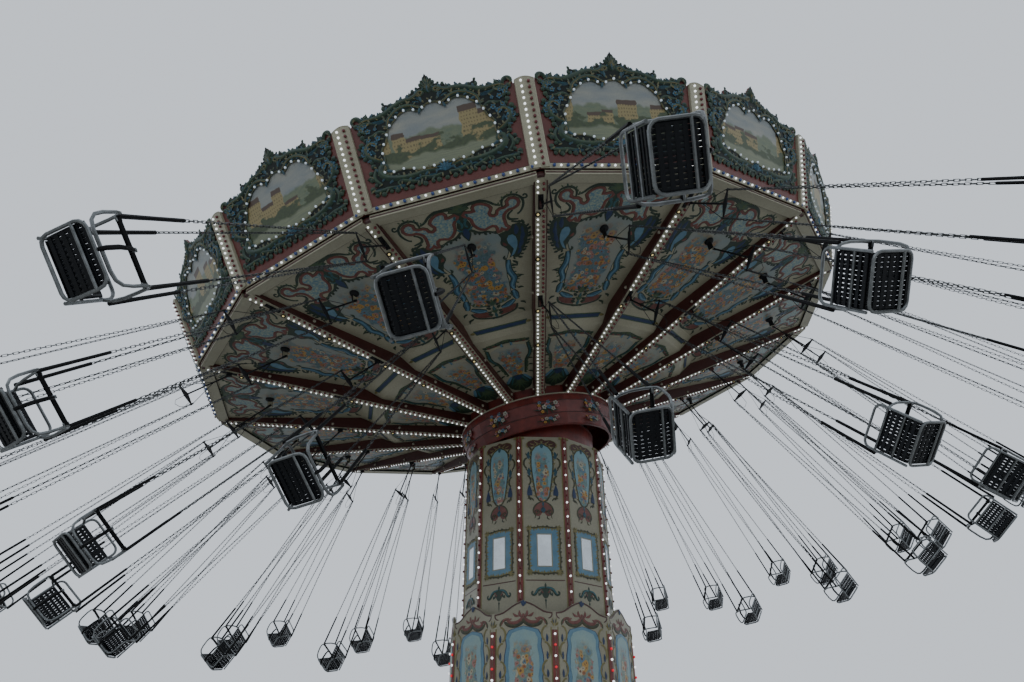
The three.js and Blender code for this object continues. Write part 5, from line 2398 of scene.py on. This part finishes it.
        # The cream line round the pane carries the tower's painted shade.
        panel.draw(TOWER_CREAM_PAINTED_SHADE, [line(pane, 12, True)], 5)
        corners = fan(206, 172, 116, 18, range(0, 91, 30), 0.2) + fan(206, -462, 116, 18, range(-90, 1, 30), 0.2)
        panel.draw(OLIVE_GOLD, corners, 8, True)
        panel.draw(MAROON, [line([(-316, -618), (316, -618)], 8)], 0)
        husk = [(0, -892), (30, -880), (52, -840), (60, -790), (48, -744), (0, -722)]
        panel.fill(DARK_GREEN, [both_sides(husk)], 4, 0)
        panel.draw(DARK_GREEN, [
            Stroke(
                [(0, -734), (56, -738), (104, -754), (138, -786), (152, -822), (182, -846), (216, -832), (218, -798),
                 (196, -788)],
                [20, 26, 26, 23, 20, 17, 15, 13, 12],
            ),
            leaf(70, -780, 84, -66, 17), leaf(112, -804, 60, -90, 12),
        ], 3, True)
        panel.draw(TEAL, [
            Stroke(
                [(10, -726), (60, -730), (106, -746), (140, -778), (156, -818), (184, -838)],
                [10, 14, 14, 12, 10, 7],
            ),
        ], 12, True)
        panel.draw(DUSTY_ROSE, [leaf(34, -810, 50, 50, 13), leaf(60, -760, 40, 10, 9)], 8, True)
        panel.draw(DARK_GREEN, [
            leaf(0, -725, 66, 90, 18, 0), leaf(0, -880, 175, -90, 9, 0), leaf(0, -905, 44, -90, 17, 0),
        ], 3)
        return panel.build()

    def corner(self) -> Piece:
        """The red lamp strip over one corner, with an olive moulding on each side of it.

        Returns:
            The strip.
        """
        strip = Relief("tube_corner", 0.6)
        head = RIDE.tube_top_z - self.zero_z - 4
        foot = self.foot_z - self.zero_z
        for side in (-1, 1):
            flank = Relief("tube_corner_flank", 0.6)
            low, high = (4, 46) if side > 0 else (-46, -4)
            flank.fill(RED, [[(low, foot), (high, foot), (high, head), (low, head)]], 5, 0)
            flank.draw(OLIVE_GOLD, [line([(side * 56, foot), (side * 56, head)], 10)], 0)
            # The cream line beside the strip carries the tower's painted shade.
            flank.draw(TOWER_CREAM_PAINTED_SHADE, [line([(side * 82, foot), (side * 82, head)], 6)], 0)
            end = [(side * x, y) for x, y in ((40, head - 40), (96, head - 40), (96, head), (40, head))]
            flank.fill(OLIVE_GOLD, [end[::side]], 16, 0)
            strip.parts.append(self.bent(flank, side))
        strip.rosettes([(0, head - 26, 22)], OLIVE_GOLD, 14)
        return strip.build()

    def build(self) -> None:
        """Dresses the ten panels, the ten corners, and the neck above them."""
        middles, corners = self.middles(), self.corners()
        carried(repeated_pictures(self.panel(), middles, "tube_panels"), "lift")
        carried(repeated(self.mirror(), middles, "tube_mirrors"), "lift")
        carried(repeated(self.corner(), corners, "tube_corners"), "lift")
        head = RIDE.tube_top_z - self.zero_z - self.lamp_drop
        count = int((head - (self.foot_z - self.zero_z)) / self.lamp_pitch)
        spots = [(0.0, head - number * self.lamp_pitch, 2.0) for number in range(count)]
        lamp_rows("tube_white_lamps", WHITE_LAMP, 38, spots[1::2], corners, "lift")
        lamp_rows("tube_red_lamps", RED_LAMP, 42, spots[0::2], corners, "lift")
        bpy.ops.mesh.primitive_cylinder_add(
            vertices=64, radius=self.neck_r * MM, depth=self.neck_long * MM, end_fill_type="NOTHING",
            location=(0, 0, self.neck_z * MM),
        )
        cover = named("neck_cover", RED)
        wall = cover.modifiers.new("wall", "SOLIDIFY")
        wall.thickness = 0.005
        neck = [settle(cover)]
        for z, half in ((6850, 16), (7060, 9), (7282, 14)):
            neck.append(tube("neck_bead", loop(self.neck_bead_r, z, 40), half, MAROON, True))
        carried(joined(neck, "neck_beads"), "lift")


@dataclass
class LowerTower(Cladding):
    """The fixed tower's scalloped top edge, medallion panels, lamp strips, skirting and service door."""

    radius: float = RIDE.lower_r
    phase_deg: float = RIDE.lower_phase_deg
    zero_z: float = 0
    service_side: int = 5
    lamps: int = 21
    lamp_head: float = 3540
    lamp_pitch: float = 150

    def panel(self) -> Piece:
        """Scroll work of one panel, measured up from the ground.

        Returns:
            The panel.
        """
        panel = Relief("tower_panel", 0.3)
        half, valley = self.half, RIDE.lower_valley_z
        rise = RIDE.lower_peak_z - valley
        crown = [
            (half * 0.94, 10), (half * 0.72, rise * 0.1), (half * 0.5, rise * 0.42), (half * 0.28, rise * 0.76),
            (30, rise - 14),
        ]
        panel.draw(MAROON, [line([(x, valley + y - 14) for x, y in crown], 11)], 0, True)
        panel.draw(MAROON, [scroll(half * 0.86, valley - 34, 84, 60, 10, Bulge.RIGHT)], 2, True)
        panel.draw(NAVY, [
            leaf(0, valley + rise - 90, 90, 90, 34, 0), leaf(0, valley + rise - 60, 60, 40, 20),
            leaf(0, valley + rise - 60, 60, 140, 20),
        ], 6)
        panel.draw(BLACK_OLIVE, [
            scroll(130, 3772, 290, 166, 30), scroll(280, 3716, 150, 150, 20, Bulge.RIGHT),
        ], 1, True)
        panel.draw(DUSTY_ROSE, [
            scroll(120, 3800, 240, 160, 24), leaf(20, 3790, 120, 70, 24), leaf(70, 3810, 110, 30, 20),
            leaf(180, 3780, 110, -10, 18), scroll(270, 3730, 130, 150, 16, Bulge.RIGHT),
        ], 3, True)
        ring = [
            (0, 2500), (100, 2520), (190, 2580), (240, 2680), (262, 2820), (246, 2960), (270, 3100), (262, 3260),
            (236, 3400), (250, 3520), (200, 3610), (110, 3640), (0, 3666),
        ]
        panel.picture(TOWER_BUNCH, both_sides([(x * 0.86, 3080 + (y - 3080) * 0.93) for x, y in ring]), 4, 5)
        panel.fill(SKY_BLUE, [both_sides([(x * 1.08, y) for x, y in ring])], 5, 0)
        panel.draw(NAVY, [line(both_sides([(x * 1.1, y) for x, y in ring]), 7, True)], 3)
        panel.draw(OLIVE_GOLD, [
            scroll(335, 3560, 190, 80, 15), scroll(330, 3330, 200, 100, 15, Bulge.RIGHT),
            scroll(340, 3080, 200, 84, 15), scroll(320, 2850, 190, 100, 15, Bulge.RIGHT),
            scroll(300, 2640, 180, 60, 15), scroll(140, 2480, 200, 20, 15),
        ], 5, True)
        panel.draw(NAVY, [leaf(352, y, 110, 92, 20, 6) for y in (2700, 2960, 3200, 3440)], 6, True)
        panel.draw(DUSTY_ROSE, [scroll(130, 2380, 260, 12, 24), leaf(40, 2370, 110, -60, 18)], 3, True)
        panel.draw(MAROON, [line([(-400, 2260), (400, 2260)], 8)], 0)
        low = [(-330, 700), (330, 700), (330, 2130), (-330, 2130)]
        panel.draw(OLIVE_GOLD, [line(low, 14, True)], 0)
        panel.draw(SKY_BLUE, [line([(x * 0.9, 1415 + (y - 1415) * 0.955) for x, y in low], 9, True)], 0)
        panel.draw(LEAF_GREEN, [
            scroll(150, 1590, 320, 70, 20), scroll(150, 1230, 320, 110, 20, Bulge.RIGHT), leaf(30, 1400, 180, 40, 24),
            leaf(30, 1400, 180, -40, 24),
        ], 3, True)
        panel.draw(DUSTY_ROSE, fan(0, 1400, 170, 24, range(0, 360, 45), 0), 6)
        panel.draw(NAVY, [leaf(0, 1800, 160, 90, 30, 0), leaf(0, 1010, 160, -90, 30, 0)], 4)
        return panel.build()

    def corner(self) -> Piece:
        """The red lamp strip and the olive drop over one corner of the tower.

        Returns:
            The strip.
        """
        parts = []
        for side in (-1, 1):
            flank = Relief("tower_corner_flank", 0.6)
            low, high = (3, 44) if side > 0 else (-44, -3)
            flank.fill(RED, [[(low, 330), (high, 330), (high, 3600), (low, 3600)]], 5, 0)
            flank.draw(OLIVE_GOLD, [line([(side * 54, 330), (side * 54, 3640)], 10)], 0)
            flank.draw(OLIVE_GOLD, [
                leaf(side * 12, 3650, 120, 90 - 10 * side, 18, 0), leaf(side * 14, 3660, 80, 90 - 40 * side, 14),
            ], 2)
            flank.draw(NAVY, [leaf(side * 12, 3690, 60, 90 - 12 * side, 9, 0)], 8)
            parts.append(self.bent(flank, side))
        return joined(parts, "tower_corner")

    def skirting(self) -> Piece:
        """The plinth boards, the framed louvres and the screws of one panel's foot.

        Returns:
            The skirting.
        """
        half = self.half
        parts = [
            block("plinth", (-half + 2, 205, -2), (half - 2, 330, 14), RED, 5),
            block("plinth", (-half + 2, 330, -2), (half - 2, 352, 22), OLIVE_GOLD, 5),
        ]
        for y in range(440, 620, 26):
            parts.append(block("louvre", (-190, y, -2), (190, y + 16, 12), DARK_STEEL, 3))
        parts.append(tube("louvre_frame", [(x, y, 4) for x, y in rounded(-210, 418, 210, 640, 20, 2)], 9, CREAM, True))
        for x in (-half + 80, half - 80):
            for y in (240, 295, 400, 660):
                parts.append(tube("screw", [(x, y, -2), (x, y, 20 if y < 330 else 5)], 9, GALVANISED))
        return joined(parts, "tower_skirting")

    def door(self) -> Piece:
        """The service door in the side away from the entrance: frame, three hinges, handle and kick plate.

        Returns:
            The door.
        """
        parts = [
            tube("door_frame", [(x, y, 6) for x, y in rounded(-300, 360, 300, 2240, 30, 2)], 14, OLIVE_GOLD, True),
            tube("door_gap", [(x, y, 3) for x, y in rounded(-270, 390, 270, 2210, 14, 2)], 5, BLACK_STEEL, True),
            block("kick_plate", (-240, 400, 0), (240, 520, 8), GALVANISED, 2),
            block("lock_case", (170, 1180, 0), (235, 1380, 14), GALVANISED, 3),
            tube("handle", [(202, 1310, 12), (202, 1310, 60), (110, 1310, 60)], 10, GALVANISED, sides=2),
        ]
        for y in (560, 1300, 2040):
            parts.append(tube("hinge", [(-276, y - 60, 16), (-276, y + 60, 16)], 13, GALVANISED, sides=2))
            parts.append(block("hinge_leaf", (-262, y - 50, 0), (-190, y + 50, 8), GALVANISED, 2))
        return joined(parts, "service_door")

    def build(self) -> None:
        """Dresses the ten panels and corners of the fixed tower."""
        middles, corners = self.middles(), self.corners()
        carried(repeated_pictures(self.panel(), middles, "tower_panels"), "base")
        carried(repeated(self.corner(), corners, "tower_corners"), "base")
        plain = [place for side, place in enumerate(middles) if side != self.service_side]
        carried(repeated(self.skirting(), plain, "tower_skirtings"), "base")
        carried(repeated(self.door(), [middles[self.service_side]], "service_door"), "base")
        spots = [(0.0, self.lamp_head - number * self.lamp_pitch, 3.0) for number in range(self.lamps)]
        lamp_rows("tower_white_lamps", WHITE_LAMP, 40, spots[0::2], corners, "base")
        lamp_rows("tower_red_lamps", LIT_RED_LAMP, 44, spots[1::2], corners, "base")


@dataclass
class Roof:
    """Hip battens, seams, rings and a bolted cap on the shallow roof, none of it seen in the photograph."""

    head_r: float = 600
    head_h: float = 2430
    edge_r: float = 6355
    edge_h: float = 1031

    def build(self) -> None:
        """Adds the battens over the sixteen hips, the seams between them, the rings, and the cap."""
        parts = []
        for bay in range(RIDE.bays):
            for share, half, finish in ((0.0, 22, MAROON), (0.33, 9, CANVAS), (0.67, 9, CANVAS)):
                a = math.radians(RIDE.rib_phase_deg + bay * RIDE.bay_deg)
                b = math.radians(RIDE.rib_phase_deg + (bay + 1) * RIDE.bay_deg)
                ends = []
                for r, h in ((self.head_r, self.head_h), (self.edge_r, self.edge_h)):
                    x = r * (math.cos(a) + (math.cos(b) - math.cos(a)) * share)
                    y = r * (math.sin(a) + (math.sin(b) - math.sin(a)) * share)
                    ends.append((x, y, h + 2))
                parts.append(tube("roof_batten", ends, half, finish))
        for r, h, half in ((self.head_r + 10, self.head_h - 2, 20), (4300, 1532, 9), (2500, 1970, 9)):
            finish = MAROON if half > 10 else CANVAS
            parts.append(tube("roof_ring", loop(r, h, RIDE.bays, RIDE.rib_phase_deg), half, finish, True))
        for r, low, high, finish in ((420, 2431, 2452, MAROON), (150, 2450, 2470, GALVANISED)):
            bpy.ops.mesh.primitive_cylinder_add(
                vertices=32, radius=r * MM, depth=(high - low) * MM, location=(0, 0, (high + low) / 2 * MM)
            )
            parts.append(settle(named("roof_cap", finish)))
        for x, y, h in loop(370, 2450, 12):
            parts.append(tube("cap_bolt", [(x, y, h), (x, y, h + 18)], 14, GALVANISED))
        piece = joined(parts, "roof_battens")
        piece.data.transform(RIDE.canopy())
        carried(piece, "canopy")


@dataclass
class BaseFrame:
    """Anchor bolts with their nuts, gussets, cover bolts and an end cap on each of the six feet."""

    feet: int = 6
    reach: float = 2050

    def foot(self) -> Piece:
        """The fittings of one foot, with X outward from the axis.

        Returns:
            The fittings.
        """
        parts = []
        for x in (1830, 2060):
            for y in (-150, 150):
                parts.append(tube("anchor_bolt", [(x, y, 30), (x, y, 88)], 14, GALVANISED, sides=2))
                parts.append(tube("anchor_nut", [(x, y, 40), (x, y, 62)], 25, GALVANISED))
        for side in (-1, 1):
            for x in (1600, 1900):
                bpy.ops.mesh.primitive_cube_add(size=1, location=(x * MM, side * 128 * MM, 100 * MM))
                plate = named("gusset", DARK_STEEL)
                plate.scale = (0.012, 0.036, 0.12)
                parts.append(settle(plate))
        parts.append(block("end_cap", (self.reach - 1, -100, 12), (self.reach + 10, 100, 190), DARK_STEEL, 4))
        for x in (1650, 1750, 1850, 1950):
            for y in (-70, 70):
                parts.append(tube("cover_bolt", [(x, y, 196), (x, y, 212)], 13, GALVANISED))
        return joined(parts, "foot_fittings")

    def build(self) -> None:
        """Adds the fittings to every foot."""
        places = [Matrix.Rotation(math.tau * foot / self.feet, 4, "Z") for foot in range(self.feet)]
        carried(repeated(self.foot(), places, "foot_fittings"), "base")


@dataclass
class MiddleHangers:
    """Black housings on the soffit round the lugs of the middle ring of chairs."""

    def housing(self) -> Piece:
        """One housing at a pivot: a domed plate at the soffit, cheeks round the lug, and the pin.

        Returns:
            The housing.
        """
        parts = []
        bpy.ops.mesh.primitive_uv_sphere_add(segments=16, ring_count=8, radius=0.1)
        dome = named("housing_dome", BLACK_STEEL)
        lean = Matrix.Translation((0, 0, 0.132)) @ Matrix.Rotation(math.radians(-9), 4, "Y")
        dome.data.transform(lean @ Matrix.Diagonal((0.78, 0.66, 0.5, 1)))
        parts.append(dome)
        parts.append(block("housing_neck", (-39, -28, -20), (39, -24.5, 132), BLACK_STEEL, 2))
        for side in (-1, 1):
            low, high = (35.5, 41) if side > 0 else (-41, -35.5)
            parts.append(block("housing_neck", (low, -27, -20), (high, -2, 130), BLACK_STEEL, 2))
        parts.append(tube("housing_pin", [(0, -38, 0), (0, 2, 0)], 15, BLACK_STEEL, sides=2))
        return joined(parts, "middle_housing")

    def build(self) -> None:
        """Repeats the housing at the sixteen middle pivots."""
        places = [Ring.MIDDLE.pivot(bay) for bay in range(RIDE.bays)]
        carried(repeated(self.housing(), places, "middle_housings"), "canopy")


PAINTED_NODES: dict[str, Finish] = {
    "base_frame": DARK_STEEL,
    # The tower's cream is darkened as painted shade for the canopy's shadow.
    "lower_tower": TOWER_CREAM_PAINTED_SHADE,
    "upper_tube": TOWER_CREAM_PAINTED_SHADE,
    "lift_mast": DARK_STEEL,
    "tilt_head": DARK_STEEL,
    "canopy_hub": MAROON,
    "hub_ring": RED,
    "rib_frame": MAROON,
    "soffit": CREAM,
    "collar": RED,
    "roof": CANVAS,
}


def paint_nodes(frame: dict) -> None:
    """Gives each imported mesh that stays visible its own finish.
    """
    for name, finish in PAINTED_NODES.items():
        node = frame["nodes"][name]
        node.data.materials.clear()
        node.data.materials.append(finish.material())


@dataclass(frozen=True)
class Stage:
    """The camera at the photograph's viewing angle, a pale floor and soft light."""

    lens_mm: float = 25.27
    place: Corner = (0.0, -12.79668, 1.6)
    yaw: float = -0.03306
    pitch: float = 0.55753
    roll: float = -0.00685

    def camera(self) -> None:
        """Adds the camera and makes it the scene's own."""
        ahead = Vector((
            math.sin(self.yaw) * math.cos(self.pitch),
            math.cos(self.yaw) * math.cos(self.pitch),
            math.sin(self.pitch),
        ))
        right = Vector((math.cos(self.yaw), -math.sin(self.yaw), 0))
        up = right.cross(ahead)
        x = right * math.cos(self.roll) + up * math.sin(self.roll)
        y = up * math.cos(self.roll) - right * math.sin(self.roll)
        turn = Matrix((x, y, -ahead)).transposed().to_4x4()
        bpy.ops.object.camera_add()
        camera = bpy.context.active_object
        camera.name = "photo_camera"
        camera.matrix_world = Matrix.Translation(self.place) @ turn
        camera.data.lens = self.lens_mm
        camera.data.sensor_width = 36
        camera.data.clip_end = 300
        bpy.context.scene.camera = camera

    def floor(self) -> None:
        """Adds the plain pale floor."""
        bpy.ops.mesh.primitive_plane_add(size=160)
        floor = bpy.context.active_object
        floor.name = "floor"
        paint = Finish("pale_floor", "B7B5B1", "AEACA8", patch_mm=3000, grain_mm=400, roughness=0.8, bump=0.0)
        floor.data.materials.append(paint.material())

    def lights(self) -> None:
        """Lights the ride by an even pale sky and two broad soft lamps."""
        world = bpy.data.worlds.new("pale_sky")
        world.use_nodes = True
        sky = world.node_tree.nodes["Background"]
        sky.inputs["Color"].default_value = linear("DCE3EC")
        sky.inputs["Strength"].default_value = 1.1
        bpy.context.scene.world = world
        for name, spot, size, power in (
            ("soft_key", (-14, -22, 16), 14, 420),
            ("soft_fill", (18, -14, 6), 12, 210),
        ):
            bpy.ops.object.light_add(type="AREA", location=spot)
            lamp = bpy.context.active_object
            lamp.name = name
            lamp.data.size = size
            lamp.data.energy = power
            aim = Vector((0, 0, 7)) - Vector(spot)
            lamp.rotation_euler = aim.to_track_quat("-Z", "Y").to_euler()

    def build(self) -> None:
        """Makes the camera, the floor and the lights."""
        self.camera()
        self.floor()
        self.lights()


def main() -> None:
    """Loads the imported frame, and builds and dresses every piece in order."""
    logging.basicConfig(level=logging.INFO, format="%(message)s")
    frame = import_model()
    Stage().build()
    paint_nodes(frame)
    for part in (BaseFrame(), LowerTower(), UpperTube(), Collar(), Ribs(), Soffit(), MiddleHangers(), Fascia(), Roof()):
        part.build()
        LOG.info("built %s", type(part).__name__)
    for helper in [piece for piece in bpy.data.objects if piece.name.startswith("profile_")]:
        drop(helper)
    hang_chairs()


if __name__ == "__main__":
    main()
